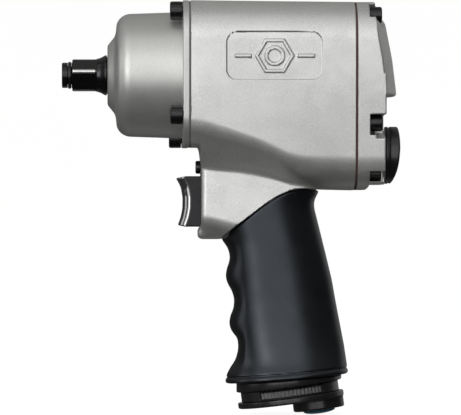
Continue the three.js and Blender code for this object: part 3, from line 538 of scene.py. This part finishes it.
def edge_worn_steel():
    """Black oxide worn to bright steel where the square's corners rub."""
    s = Shader("edge_worn_black_steel", 0.9, 0.4, 0.14)
    grain = s.noise(1500.0, 2.0, 0.6)
    split = s.node("ShaderNodeSeparateXYZ")
    s.tree.links.new(s.place, split.inputs["Vector"])
    squares = [s.maths("MULTIPLY", split.outputs[axis], split.outputs[axis]) for axis in ("Y", "Z")]
    out = s.maths("SQRT", s.maths("ADD", *squares))
    out = s.maths("ADD", out, s.maths("MULTIPLY", s.maths("SUBTRACT", grain, 0.5), 0.5 * MM))
    corner = s.step(out, 7.9 * MM, 8.2 * MM)
    square = s.step(split.outputs["X"], 17.3 * MM, 16.8 * MM)
    mask = s.maths("MULTIPLY", corner, square)
    dark = s.ramp(grain, (0.010, 0.010, 0.012), (0.032, 0.032, 0.035))
    bright = s.ramp(grain, (0.66, 0.66, 0.65), (0.92, 0.92, 0.91))
    s.colour(s.blend(mask, dark, bright))
    s.roughness(s.scalar(s.noise(130.0, 5.0), 0.20, 0.32))
    s.bump([(grain, 0.03, 0.25)])
    return s.material


def finish(obj, slot, body, *nodes, material=None):
    obj.data.materials.clear()
    obj.data.materials.append(material or MATERIALS[slot])
    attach(obj, body)
    if nodes:
        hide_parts(*nodes)
    return obj


# ---- hammer case ----
def top_of(x):
    return 37.9 - (x - BODY_FRONT) * 0.009


def body_outline(x, y, z, bottom, top, low_corner, top_corner=20.0):
    """The squarish section of the body, with slightly bowed sides and sloping lower flanks."""
    middle = (top + bottom) / 2
    half = (top - bottom) / 2
    depth = 1.1 + np.where(z < 4, np.clip((x - 90) / 50, 0, 1), 0)
    wide = np.abs(y) + depth * 2.2 * (1 - np.exp(-((z - 4) / 34) ** 2 / 2.2))
    section = rounded(wide, z - middle, BODY_HALF, half, np.where(z > middle, top_corner, low_corner))
    fall = np.radians(curve(x, FLANK_FALL, 7))
    flank = np.cos(fall) * (wide - BODY_HALF) - np.sin(fall) * (z - curve(x, FLANK_Z, 6))
    return inter(section, flank - curve(x, FLANK_OUT, 6), curve(x, FLANK_EDGE, 6))


# the case's front face as (radius, x)
CASE_FRONT = [(0, 23.4), (14.6, 23.4), (15.6, 23.7), (19.3, 26.7), (20.2, 27.2), (22, 27.7), (25, 28.0),
              (45, 28.4)]


def hammer_case(x, y, z):
    r = np.hypot(y, z)
    front = (curve(r, CASE_FRONT, 0.5) - x) * 0.9
    shell = inter(inter(front, r - (31.6 + (x - 34.6) * 0.034), 6.5), x - 65.1)
    flange = inter(body_outline(CASE_X, y, z, *CASE_SECTION), between(x, 61.9, 65.1), 0.3)
    whole = join(shell, flange, 0.4)
    bore = inter(r - CASE_BORE, 33 - x, 1.0)
    bearing = inter(r - 12.8, x - 40)
    whole = cut(cut(whole, bore), bearing, 0.3)
    for sy, sz in FRONT_SCREWS:
        whole = cut(whole, round_x(y, z, sy, sz, CASE_SCREW_HOLE))
    return whole


finish(carve("hammer_case_visual", hammer_case, (23.4, -37, -37.2), (64.9, 37, 37.9), 0.55, 0.45),
       "clear_metal", "tool", "hammer_case")


# ---- motor housing ----
def lip_height(x):
    return -155.7 + (x - 116.5) * math.tan(math.radians(4.8))


def handle_core(x, y, z):
    front, rear = curve(z, CORE_FRONT, 3), curve(z, CORE_REAR, 3)
    return oval(x - (front + rear) / 2, y, (rear - front) / 2, curve(z, CORE_HALF, 3), HANDLE_POWER)


def badge(x, z, surface):
    """The sunk panel on each side, just under the surface, with a plain raised hexagon and ring in it."""
    panel = rounded(x - 108.1, z - 8.9, 24.2, 12.1, 5.0)
    a, b = np.abs(x - 108.1), np.abs(z - 8.9)
    hexagon = np.maximum(a * 0.866 + b * 0.5, b) - 7.8
    ring = np.abs(np.hypot(a, b) - 4.2) - 0.9
    band = np.maximum(np.abs(b) - 0.9, np.abs(a - 16.0) - 4.2)
    raised = np.minimum(np.minimum(np.abs(hexagon) - 0.8, ring), band)
    sunk = cut(panel, raised, 0.25)
    return inter(sunk, -0.55 - surface, 0.25)


def housing(x, y, z):
    bottom = curve(x, UNDERSIDE, 0.6)
    barrel = body_outline(x, y, z, bottom, top_of(x), curve(x, LOW_CORNER, 1))
    sides = np.where(np.abs(y) > 20, barrel, -50.0)
    barrel = inter(barrel, between(x, BODY_FRONT - 0.2, BODY_REAR + 0.2), 0.3)
    neck_rear = curve(z, [(-26, 128), (-62, 130.4), (-90, 132)])
    neck_x = (NECK_FRONT + neck_rear) / 2
    neck_half = 19.2 - 0.05 * (z + 46)
    neck = rounded(x - neck_x, y, (neck_rear - NECK_FRONT) / 2, neck_half, np.where(x > neck_x, 8.0, 2.6))
    neck = inter(neck, z + 20, 1)
    fall = math.radians(48)
    below = z + 75.6 + (x - NECK_FRONT) * 0.25
    neck = inter(neck, math.cos(fall) * (np.abs(y) - 19.6) - math.sin(fall) * below, 3.0)
    neck = inter(neck, -83.2 - z, 1.2)
    neck = inter(neck, curve(x, GRIP_TOP, 2) - z, 0.3)
    fillet = curve(x, [(66, 2.0), (73, 3.0), (82, 4.0), (104, 4.0), (119, 3.0), (133, 1.0)], 2)
    body = join(barrel, neck, fillet)
    core = inter(inter(handle_core(x, y, z), z + 20), lip_height(x) + 0.3 - z)
    body = join(body, core)
    chin = inter(rounded(y, z + 81.3, 11.5, 2.2, 2.0), between(x, 70.3, 88), 1.2)
    body = join(body, chin, 3.0)
    u, w = handle(x, z)
    r = np.hypot(y, z)
    bores = [inter(r - CASE_BORE, x - 71.2), r - 12.0 + np.maximum(x - 80, 0),
             inter(r - MOTOR_BORE, 78.7 - x),
             inter(round_x(y, z, 0, VALVE_Z, 8.0), 111 - x),
             inter(round_x(y, z, 0, TRIGGER_Z, 2.8), between(x, 60, 118)),
             inter(round_x(y, z, 0, OIL_PLUG_Z, 2.5), x - 79.5),
             inter(np.hypot(u - INLET_U, y) - 7.8, w - 112),
             inter(np.hypot(u + 8, np.abs(y) - 8) - 4.5, w - 128)]
    bores += [inter(round_x(y, z, sy, sz, CASE_SCREW_HOLE), x - 86) for sy, sz in FRONT_SCREWS]
    bores += [inter(round_x(y, z, sy, sz, COVER_SCREW_HOLE), 137 - x) for sy, sz in REAR_SCREWS]
    for bore in bores:
        body = cut(body, bore)
    pocket = inter(rounded(y, z - TRIGGER_Z, 9.4, 13.3, 1.5), x - 82.5)
    return cut(cut(body, pocket, 0.6), badge(x, z, sides), 0.15)


finish(carve("motor_housing_visual", housing, (65.9, -37, -158), (151.4, 37, 37.9), 0.7, 0.42),
       "silver_paint", "tool", "motor_housing")


# ---- rear cover ----
# the upper block's rear face as (z, x)
COVER_REAR = [(-12, 172.1), (-8.4, 171.9), (8, 169.9), (26, 166.4), (27.6, 165.4), (29, 164.1), (33, 162.4),
              (38, 160.2)]


DIAGONAL = 0.7071  # sine and cosine of 45 degrees


def rear_cover(x, y, z):
    outline = body_outline(COVER_X, y, z, *COVER_SECTION)
    crown = 6.9 * (np.abs(y) / BODY_HALF) ** 2
    upper = inter((x - (curve(z, COVER_REAR, 0.6) - crown)) * 0.95, -10.9 - z, 1.4)
    middle = inter(x - 165.0, between(z, -20.9, 0), 0.5)
    lower = inter(x - 164.6, z - (-29.1 - 4.3 * (np.abs(y) / BODY_HALF) ** 2), 0.4)
    whole = join(join(upper, middle, 0.3), join(lower, x - 160.0, 0.3), 0.3)
    whole = join(whole, inter(x - 164.4, np.maximum(z + 12, np.abs(y) - 19), 0.4), 0.2)
    whole = inter(whole, outline, 0.6)
    whole = inter(whole, 150.5 - x, 0.3)
    slant = (x - 155.4) * 0.78 - (z + 59) * 0.63
    whole = inter(whole, np.minimum(slant, np.maximum(-56.4 - z, slant - 30)), 0.3)
    whole = cut(whole, np.maximum(z + 56.4, COVER_SEAT - x), 0.3)
    r = np.hypot(y, z)
    spigot = inter(inter(r - 27.2, between(x, 136.3, 155)), 22 - r, 0.2)
    whole = join(cut(whole, inter(r - 22, x - 160)), spigot)
    for sy, sz in REAR_SCREWS:
        out = y * np.sign(sy) - abs(sy)
        if sz > 0:
            along, across = (out + z - sz) * DIAGONAL, (out - z + sz) * DIAGONAL
            well = np.where(along > 0, np.abs(across) - 6.0, np.hypot(along, across) - 6.0)
        elif sz > -40:
            well = np.where(out > 0, np.abs(z - sz) - 6.2, np.hypot(out, z - sz) - 6.2)
            well = np.maximum(well, z + 20.8)
        else:
            slot = np.maximum(np.abs(z + 52.15) - 2.55, -out - 5.0)
            well = np.minimum(np.hypot(out, z - sz) - 5.0, slot)
        whole = cut(whole, inter(well, COVER_SEAT - x, 0.4), 0.4)
        whole = cut(whole, np.hypot(out, z - sz) - COVER_SCREW_HOLE)
    return cut(whole, round_x(y, z, 0, VALVE_Z, 6.4))


finish(carve("rear_cover_visual", rear_cover, (136, -37, -59), (172.4, 37, 37.3), 0.55, 0.45), "silver_paint",
       "tool", "rear_cover")


# ---- rubber grip ----
def grip(x, y, z):
    """A sleeve with finger grooves at the front, and a groove and a bead round the bottom."""
    front, rear, half = curve(z, GRIP_FRONT, 1.6), curve(z, GRIP_REAR, 2.0), curve(z, GRIP_HALF, 3)
    side = np.clip(1 - (np.abs(y) / 16.5) ** 2, 0, 1)
    front = front * side + curve(z, GRIP_PEAKS, 2.5) * (1 - side)
    outside = oval(x - (front + rear) / 2, y, (rear - front) / 2, half, HANDLE_POWER)
    above_lip = z - lip_height(x)
    groove = 0.5 * np.exp(-((above_lip - 2.9) / 0.55) ** 2)
    bead = 0.15 * np.exp(-((above_lip - 1.2) / 0.8) ** 2)
    outside = outside + groove - bead
    top = curve(x, GRIP_TOP, 2) - 0.35
    whole = inter(outside, (z - top) * 0.8, 1.1)
    whole = inter(whole, -0.1 - above_lip, 1.0)
    chin = np.maximum(rounded(y, z + 78, 11, 5.4, 1), x - 82.6)
    return cut(cut(whole, handle_core(x, y, z) - 0.3), chin, 0.3)


finish(carve("grip_sleeve_visual", grip, (81, -29, -160), (148, 29, -58), 0.7, 0.5), "black_rubber", "tool",
       "grip_sleeve")


# ---- trigger ----
def trigger(x, y, z):
    face = curve(z, [(-78, 59.3), (-76.9, 59.7), (-73, 61.1), (-68.5, 62), (-63, 62.1), (-57.6, 61.2),
                     (-54.6, 59.7), (-53, 58.7), (-52, 58)], 1.0)
    plan = inter(face - x, np.abs(y) - 9, 4.8)
    whole = inter(plan, x - 75)
    top = -51.9 - np.maximum(63.8 - x, 0) * 0.2
    bottom = -77.9 + np.maximum(63.3 - x, 0) * 0.22
    whole = inter(whole, np.maximum(z - top, bottom - z), 0.7)
    return cut(whole, inter(round_x(y, z, 0, TRIGGER_Z, 2.8), 69 - x))


finish(carve("trigger_visual", trigger, (58, -9, -78), (75, 9, -51.9), 0.4, 0.6), "black_plastic", "trigger",
       "trigger", material=polished_trigger())


# ---- regulator knob ----
def knob(x, y, z):
    """A thick round knob with a bowed rear face. Two hollows leave a bar across it to hold."""
    up = z - VALVE_Z
    r = np.hypot(y, up)
    rear = curve(up, [(-16, 168.4), (-14, 169.6), (-11, 171.0), (-8, 172.0), (-4, 172.8), (0, 173.2),
                      (4, 173.5), (9, 173.4), (12.4, 173.1), (16, 172.8)], 1.5)
    whole = inter(inter(r - 14.75, x - rear, 1.0), 166 - x, 0.6)
    hollow = inter(inter(r - 12.0, 3.4 - np.abs(y), 1.5), 168.6 - x, 0.8)
    whole = cut(whole, hollow, 0.6)
    whole = cut(whole, np.hypot(r - 14.9, x - 168.0) - 0.55, 0.2)
    recess = inter(r - 3.4, 171.4 - x)
    socket = np.maximum(r - 6.3, np.maximum(x - 168.8, y - 3.8))
    whole = cut(cut(whole, recess, 0.3), socket)
    return cut(whole, r - 2.0)


finish(carve("regulator_knob_visual", knob, (166, -14.8, VALVE_Z - 14.8), (173.6, 14.8, VALVE_Z + 14.8),
             0.4, 0.6), "black_plastic", "regulator", "regulator_knob")


# ---- anvil with its square drive ----
def anvil(x, y, z):
    r = np.hypot(y, z)
    tilt = math.radians(45 - DRIVE_TURN)
    a = y * math.cos(tilt) + z * math.sin(tilt)
    b = -y * math.sin(tilt) + z * math.cos(tilt)
    nose = inter(r - 6.5, between(x, 0, 5.6), 0.6)
    nose = np.maximum(nose, -np.maximum(4.4 - r, between(x, 3.0, 5.0)))
    corner = inter(r - 8.5, 5.3 - x, 0.9)
    square = inter(rounded(a, b, DRIVE_HALF, DRIVE_HALF, 0.5), corner, 0.25)
    square = inter(square, x - 20)
    collar = curve(x, [(17.4, 8.2), (18, 8.5), (19.6, 8.9), (21.2, 9.7), (22.2, 10.3), (24, 10.4)], 0.3)
    flare = inter(inter(r - collar, 17.8 - x, 0.3), x - 23.05, 0.25)
    journal = inter(r - 9.5, between(x, 22, 64.6))
    lobes = np.maximum(np.abs(y) - 4.5, np.where(x < 52.7, between(z, 0, 11.9), between(z, -11.9, 0)))
    lobes = inter(lobes, np.minimum(between(x, 41, 52.3), between(x, 53.2, 64.4)))
    pilot = inter(r - 4, between(x, 60, 68))
    body = join(join(nose, square, 0.3), join(flare, journal), 0.5)
    return join(join(body, lobes), pilot)


finish(carve("anvil_visual", anvil, (0, -12, -12), (68, 12, 12), 0.35, 0.5), "black_steel", "drive", "anvil",
       material=edge_worn_steel())


def retainer(x, y, z):
    r = np.hypot(y, z)
    split_at = 2.1
    across = np.abs(y * math.cos(split_at) + z * math.sin(split_at))
    gap = inter(across - 1.0, y * math.sin(split_at) - z * math.cos(split_at))
    return cut(inter(np.abs(r - 6.3) - 0.6, np.abs(x - 4.0) - 0.85, 0.5), gap, 0.2)


finish(carve("retainer_ring_visual", retainer, (3, -7, -7), (5, 7, 7), 0.2, 0.6), "black_steel", "drive",
       "socket_retainer_ring")


# ---- screws ----
def hexagon(angle):
    sector = (angle + math.pi / 6) % (math.pi / 3) - math.pi / 6
    return 1 / math.cos(sector)


def socket_screw(name, node, mouth, seat, head, shank, tip, at):
    """A cap screw with a knurled head. The hex socket opens at mouth, and the shank runs from seat to tip."""
    way = 1 if seat > mouth else -1
    length = abs(seat - mouth)
    key = head * 0.5

    def ring(depth, radius, shape=None):
        return circle_x(mouth + way * depth, radius, at[0], at[1], 72, shape)

    def knurl(angle):
        return 1 + (0.012 if round(angle / (2 * math.pi) * 72) % 2 else -0.016)

    rings = [ring(length * 0.55, key * 0.2), ring(length * 0.5, key, hexagon), ring(0.25, key, hexagon),
             ring(0.0, key * 1.24), ring(0.0, head - 0.75), ring(0.18, head - 0.3), ring(0.55, head - 0.02),
             ring(0.8, head, knurl), ring(length - 0.7, head, knurl), ring(length - 0.45, head - 0.02),
             ring(length, head - 0.1), ring(length, shank + 0.1)]
    reach = abs(tip - mouth)
    pitch = 1.0
    depth = length + 2
    rings.append(ring(length + 0.3, shank))
    while depth < reach - 1.2:
        rings += [ring(depth, shank - 0.25), ring(depth + pitch / 2, shank)]
        depth += pitch
    rings += [ring(reach - 0.5, shank - 0.25), ring(reach, shank - 0.7)]
    return finish(spun(name, rings, 28), "black_steel", "tool", node)


for n, (sy, sz) in enumerate(FRONT_SCREWS, 1):
    socket_screw(f"case_screw_visual_{n}", f"hammer_case_screw_{n}", at=(sy, sz), **CASE_SCREW)
for n, (sy, sz) in enumerate(REAR_SCREWS, 1):
    socket_screw(f"cover_screw_visual_{n}", f"rear_cover_screw_{n}", at=(sy, sz), **COVER_SCREW)

# small screws on the middle plane as (x, radius, shape), from the hex socket's bottom to the tip
OIL_PLUG = [(69.9, 0.3, None), (69.7, 1.6, hexagon), (68.75, 1.6, hexagon), (68.7, 2.0, None),
            (68.7, 2.7, None), (68.9, 3.15, None), (69.4, 3.35, None), (71.1, 3.35, None), (71.1, 2.2, None),
            (79, 2.2, None)]
KNOB_SCREW = [(172.0, 0.2, None), (171.9, 1.4, hexagon), (172.95, 1.4, hexagon), (173.0, 1.8, None),
              (172.8, 2.8, None), (172.5, 3.1, None), (171.6, 3.1, None), (171.6, 1.5, None),
              (160, 1.5, None)]
plug_rings = [circle_x(x, radius, 0, OIL_PLUG_Z, shape=shape) for x, radius, shape in OIL_PLUG]
finish(spun("oil_plug_visual", plug_rings, 30), "black_steel", "tool", "oil_plug_screw")
knob_rings = [circle_x(x, radius, 0, VALVE_Z, shape=shape) for x, radius, shape in KNOB_SCREW]
finish(spun("knob_screw_visual", knob_rings, 30), "black_steel", "regulator", "knob_screw")


# ---- gaskets ----
def outline_loop(x, bottom, top, low_corner, inset, count=160):
    """Points round the body's section at x, found by walking out from its middle."""
    angle = np.arange(count) * 2 * math.pi / count
    middle = (bottom + top) / 2
    reach, step = np.full(count, 20.0), 16.0
    while step > 0.002:
        y, z = (reach + step) * np.cos(angle), middle + (reach + step) * np.sin(angle)
        reach = np.where(body_outline(x, y, z, bottom, top, low_corner) < -inset, reach + step, reach)
        step = step / 2
    return list(zip((reach * np.cos(angle)).tolist(), (middle + reach * np.sin(angle)).tolist()))


def hole_loop(y, z, radius, count=24):
    return [(y + radius * math.cos(2 * math.pi * k / count), z + radius * math.sin(2 * math.pi * k / count))
            for k in range(count)]


front_holes = [hole_loop(sy, sz, CASE_SCREW_HOLE, 16) for sy, sz in FRONT_SCREWS]
finish(plate("case_gasket_visual", 65.15, 65.65, outline_loop(CASE_X, *CASE_SECTION, 0.3),
             [hole_loop(0, 0, CASE_BORE, 72)] + front_holes), "gasket_fibre", "tool", "hammer_case_gasket",
       material=GREY_GASKET)
rear_holes = [hole_loop(sy, sz, COVER_SCREW_HOLE, 16) for sy, sz in REAR_SCREWS]
finish(plate("rear_gasket_visual", 149.7, 150.4, outline_loop(COVER_X, *COVER_SECTION, 0.1),
             [hole_loop(0, 0, 27.5, 72), hole_loop(0, VALVE_Z, 8.2)] + rear_holes), "gasket_fibre", "tool",
       "rear_gasket")


# ---- round base of the handle ----
def collar_ring(w, radius):
    """At w above 2 the ring follows the slanted end of the grip instead."""
    ring = circle_w(min(w, 2.0), radius, count=128)
    if w <= 2.0:
        return ring
    return [(x, y, lip_height(x) - (w - 3.0)) for x, y, z in ring]


COLLAR = [(1.3, 24.2), (1.3, 26.7), (1.6, 27.2), (1.9, 27.3), (3.9, 27.3), (3.4, 26.8), (3.4, 24.2)]
collar_rings = [collar_ring(w, radius) for w, radius in COLLAR]
finish(looped("exhaust_collar_visual", collar_rings, 30), "black_plastic", "tool", "exhaust_collar")


def deflector():
    """A thin band that turns round the base, with one wide window in it."""
    bm = bmesh.new()
    count, levels = 144, [-4.05, -3.9, -3.75, 0.7, 0.85, 1.0]
    half_window = math.radians(40)
    grid = []
    for w in levels:
        radius = 25.0 if w in (levels[0], levels[-1]) else 25.25
        grid.append([bm.verts.new(Vector(p) * MM) for p in circle_w(w, radius, count=count)])
    for a in range(len(levels) - 1):
        for k in range(count):
            middle = 2 * math.pi * (k + 0.5) / count
            off = abs((middle - 1.5 * math.pi + math.pi) % (2 * math.pi) - math.pi)
            if off < half_window and levels[a] >= -3.8 and levels[a + 1] <= 0.75:
                continue
            m = (k + 1) % count
            bm.faces.new((grid[a][k], grid[a][m], grid[a + 1][m], grid[a + 1][k]))
    mesh = bpy.data.meshes.new("deflector_ring_visual")
    bm.to_mesh(mesh)
    bm.free()
    obj = bpy.data.objects.new("deflector_ring_visual", mesh)
    bpy.context.scene.collection.objects.link(obj)
    thick = obj.modifiers.new("wall", "SOLIDIFY")
    thick.thickness = 1.1 * MM
    thick.offset = -1
    soft = obj.modifiers.new("edge", "BEVEL")
    soft.width = 0.12 * MM
    soft.segments = 2
    soft.limit_method = "ANGLE"
    bpy.context.view_layer.update()
    made = bpy.data.meshes.new_from_object(obj.evaluated_get(bpy.context.evaluated_depsgraph_get()))
    obj.modifiers.clear()
    obj.data = made
    tidy_normals(made, 35)
    return obj


finish(deflector(), "black_plastic", "deflector", "exhaust_deflector_ring")


def rib(angle):
    return 1 + 0.012 * math.cos(72 * angle)


drum = [circle_w(-3.85, 22.8, count=576), circle_w(-3.85, 23.2, count=576, shape=rib),
        circle_w(-3.4, 23.45, count=576, shape=rib), circle_w(0.4, 23.45, count=576, shape=rib),
        circle_w(0.9, 23.2, count=576, shape=rib), circle_w(0.9, 22.8, count=576)]
finish(looped("exhaust_diffuser_visual", drum, 40), "grey_diffuser", "tool", "exhaust_diffuser")


def base_cap(x, y, z):
    u, w = handle(x, z)
    r = np.hypot(u, y)
    rim = inter(inter(r - BASE_RADIUS, between(w, -7.2, -4.2), 0.5), r + (-w) * 0.9 - 33.4, 0.3)
    b = np.hypot(u - INLET_U, y)
    boss = inter(b - 13.2, between(w, -12.7, -5), 0.9)
    boss = inter(boss, r - BASE_RADIUS, 0.8)
    whole = join(rim, boss, 1.0)
    whole = cut(whole, inter(b - 9.8, w + 5.9), 0.3)
    return cut(whole, b - 8.3)


finish(carve("handle_base_cap_visual", base_cap, (88, -27.5, -178), (146, 27.5, -160), 0.5, 0.45),
       "black_plastic", "tool", "handle_base_cap")

bush = [circle_w(14, 8.0, INLET_U), circle_w(-6.2, 8.0, INLET_U), circle_w(-6.2, 9.5, INLET_U),
        circle_w(-12.2, 9.5, INLET_U), circle_w(-12.5, 9.2, INLET_U), circle_w(-12.5, 6.2, INLET_U)]
level = -12.0
while level < 12:
    bush += [circle_w(level, 5.35, INLET_U), circle_w(level + 0.7, 5.9, INLET_U)]
    level += 1.4
bush.append(circle_w(14, 5.35, INLET_U))
finish(looped("inlet_bushing_visual", bush, 35), "black_steel", "tool", "inlet_bushing")

# the plug's outline as (w, radius), from the middle of its outer face round to the end inside the inlet
DUST_PLUG = [(-14.95, 0.2), (-14.93, 2.2), (-14.75, 4.4), (-14.4, 6.4), (-14.0, 7.6), (-13.5, 8.2),
             (-13.1, 8.3), (-12.85, 8.15), (-12.8, 7.6), (-12.8, 4.9), (-9, 4.9), (-8.4, 4.6), (-7.8, 4.9),
             (-3.6, 4.9), (-3.0, 4.3), (-3.0, 0.3)]
plug = [circle_w(w, radius, INLET_U) for w, radius in DUST_PLUG]
finish(spun("dust_plug_visual", plug, 40), "blue_plastic", "dust_plug", "inlet_dust_plug")

# ---- every CAD part gets a real finish; those with no piece above keep their shape and show it ----
for part in RECORD["subparts"]:
    obj = frame["nodes"][part["node"]]
    obj.data.materials.clear()
    obj.data.materials.append(MATERIALS[part["material_slot"]])

# ---- floor, light and camera ----
FLOOR_Z = min(obj_low.z for obj_low in [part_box("inlet_dust_plug")[0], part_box("handle_base_cap")[0]]) - 0.0002


def bowl():
    """A flat pale floor that curves up into a low wall all round."""
    profile = [(0.0, 0.0), (1.5, 0.0), (4.0, 0.0)]
    profile += [(4.0 + 2 * math.sin(a), 2 - 2 * math.cos(a)) for a in np.linspace(0.1, math.pi / 2, 12)]
    profile.append((6.0, 5.0))
    points, faces = [(0, 0, 0)], []
    count = 64
    for r, h in profile[1:]:
        points += [(r * math.cos(2 * math.pi * k / count), r * math.sin(2 * math.pi * k / count), h)
                   for k in range(count)]
    for k in range(count):
        faces.append((0, 1 + k, 1 + (k + 1) % count))
    for a in range(len(profile) - 2):
        for k in range(count):
            m = (k + 1) % count
            inner, outer = 1 + a * count, 1 + (a + 1) * count
            faces.append((inner + k, outer + k, outer + m, inner + m))
    mesh = bpy.data.meshes.new("floor")
    mesh.from_pydata(points, [], faces)
    mesh.shade_smooth()
    obj = bpy.data.objects.new("floor", mesh)
    obj.location = (0.09, 0, FLOOR_Z)
    bpy.context.scene.collection.objects.link(obj)
    return obj


floor = bowl()
pale = Shader("pale_floor")
pale.colour(pale.ramp(pale.noise(3.0), (0.24, 0.24, 0.24), (0.26, 0.26, 0.26)))
pale.surface.inputs["Roughness"].default_value = 0.9
pale.surface.inputs["Emission Color"].default_value = (1, 1, 1, 1)
pale.surface.inputs["Emission Strength"].default_value = 0.93
floor.data.materials.append(pale.material)
floor.visible_glossy = False
floor.visible_diffuse = False
floor.visible_shadow = False

world = bpy.data.worlds.new("studio")
bpy.context.scene.world = world
world.use_nodes = True
nodes, links = world.node_tree.nodes, world.node_tree.links
place = nodes.new("ShaderNodeTexCoord")
split = nodes.new("ShaderNodeSeparateXYZ")
shade = nodes.new("ShaderNodeValToRGB")
spread = nodes.new("ShaderNodeMapRange")
spread.inputs["From Min"].default_value = -1
links.new(place.outputs["Generated"], split.inputs["Vector"])
links.new(split.outputs["Z"], spread.inputs["Value"])
links.new(spread.outputs["Result"], shade.inputs["Fac"])
links.new(shade.outputs["Color"], nodes["Background"].inputs["Color"])
shade.color_ramp.elements[0].position = 0.58
shade.color_ramp.elements[0].color = (0.052, 0.052, 0.049, 1)
shade.color_ramp.elements[1].position = 0.85
shade.color_ramp.elements[1].color = (0.27, 0.27, 0.262, 1)


def softbox(name, azimuth, elevation, distance, width, height, power):
    """A rectangular light that faces the tool; angles in degrees, sizes in metres, power in watts."""
    a, e = math.radians(azimuth), math.radians(elevation)
    light = bpy.data.lights.new(name, "AREA")
    light.shape = "RECTANGLE"
    light.size, light.size_y, light.energy = width, height, power
    obj = bpy.data.objects.new(name, light)
    aim = Vector((0.09, 0, -0.05))
    away = Vector((math.sin(a) * math.cos(e), -math.cos(a) * math.cos(e), math.sin(e)))
    obj.location = aim + away * distance
    obj.rotation_euler = (-away).to_track_quat("-Z", "Y").to_euler()
    bpy.context.scene.collection.objects.link(obj)


softbox("key", -16, 13, 2.0, 2.9, 1.87, 22.3)
softbox("upper", -16, 57, 2.0, 2.9, 1.38, 7.2)
softbox("left", -33, 14, 1.9, 0.3, 1.3, 4.2)
softbox("far_left", -84, 10, 1.8, 0.8, 1.2, 3.2)
softbox("low_back", 180, -52, 2.0, 1.8, 1.0, 0.75)
softbox("back", 150, 4, 2.0, 2.4, 1.4, 3.2)

AIM = Vector((86.75, 0, -68.0)) * MM
DISTANCE = 2.2
AZIMUTH = math.radians(-1.6)
FIELD = 237.4 * MM
camera = bpy.data.objects.new("camera", bpy.data.cameras.new("camera"))
camera.data.sensor_width = 36
camera.data.lens = 36 * DISTANCE / FIELD
toward = Vector((math.sin(AZIMUTH), -math.cos(AZIMUTH), 0))
camera.location = AIM + toward * DISTANCE
camera.rotation_euler = (-toward).to_track_quat("-Z", "Y").to_euler()
camera.data.clip_end = 50
bpy.context.scene.collection.objects.link(camera)
bpy.context.scene.camera = camera
bpy.context.scene.view_settings.view_transform = "Standard"
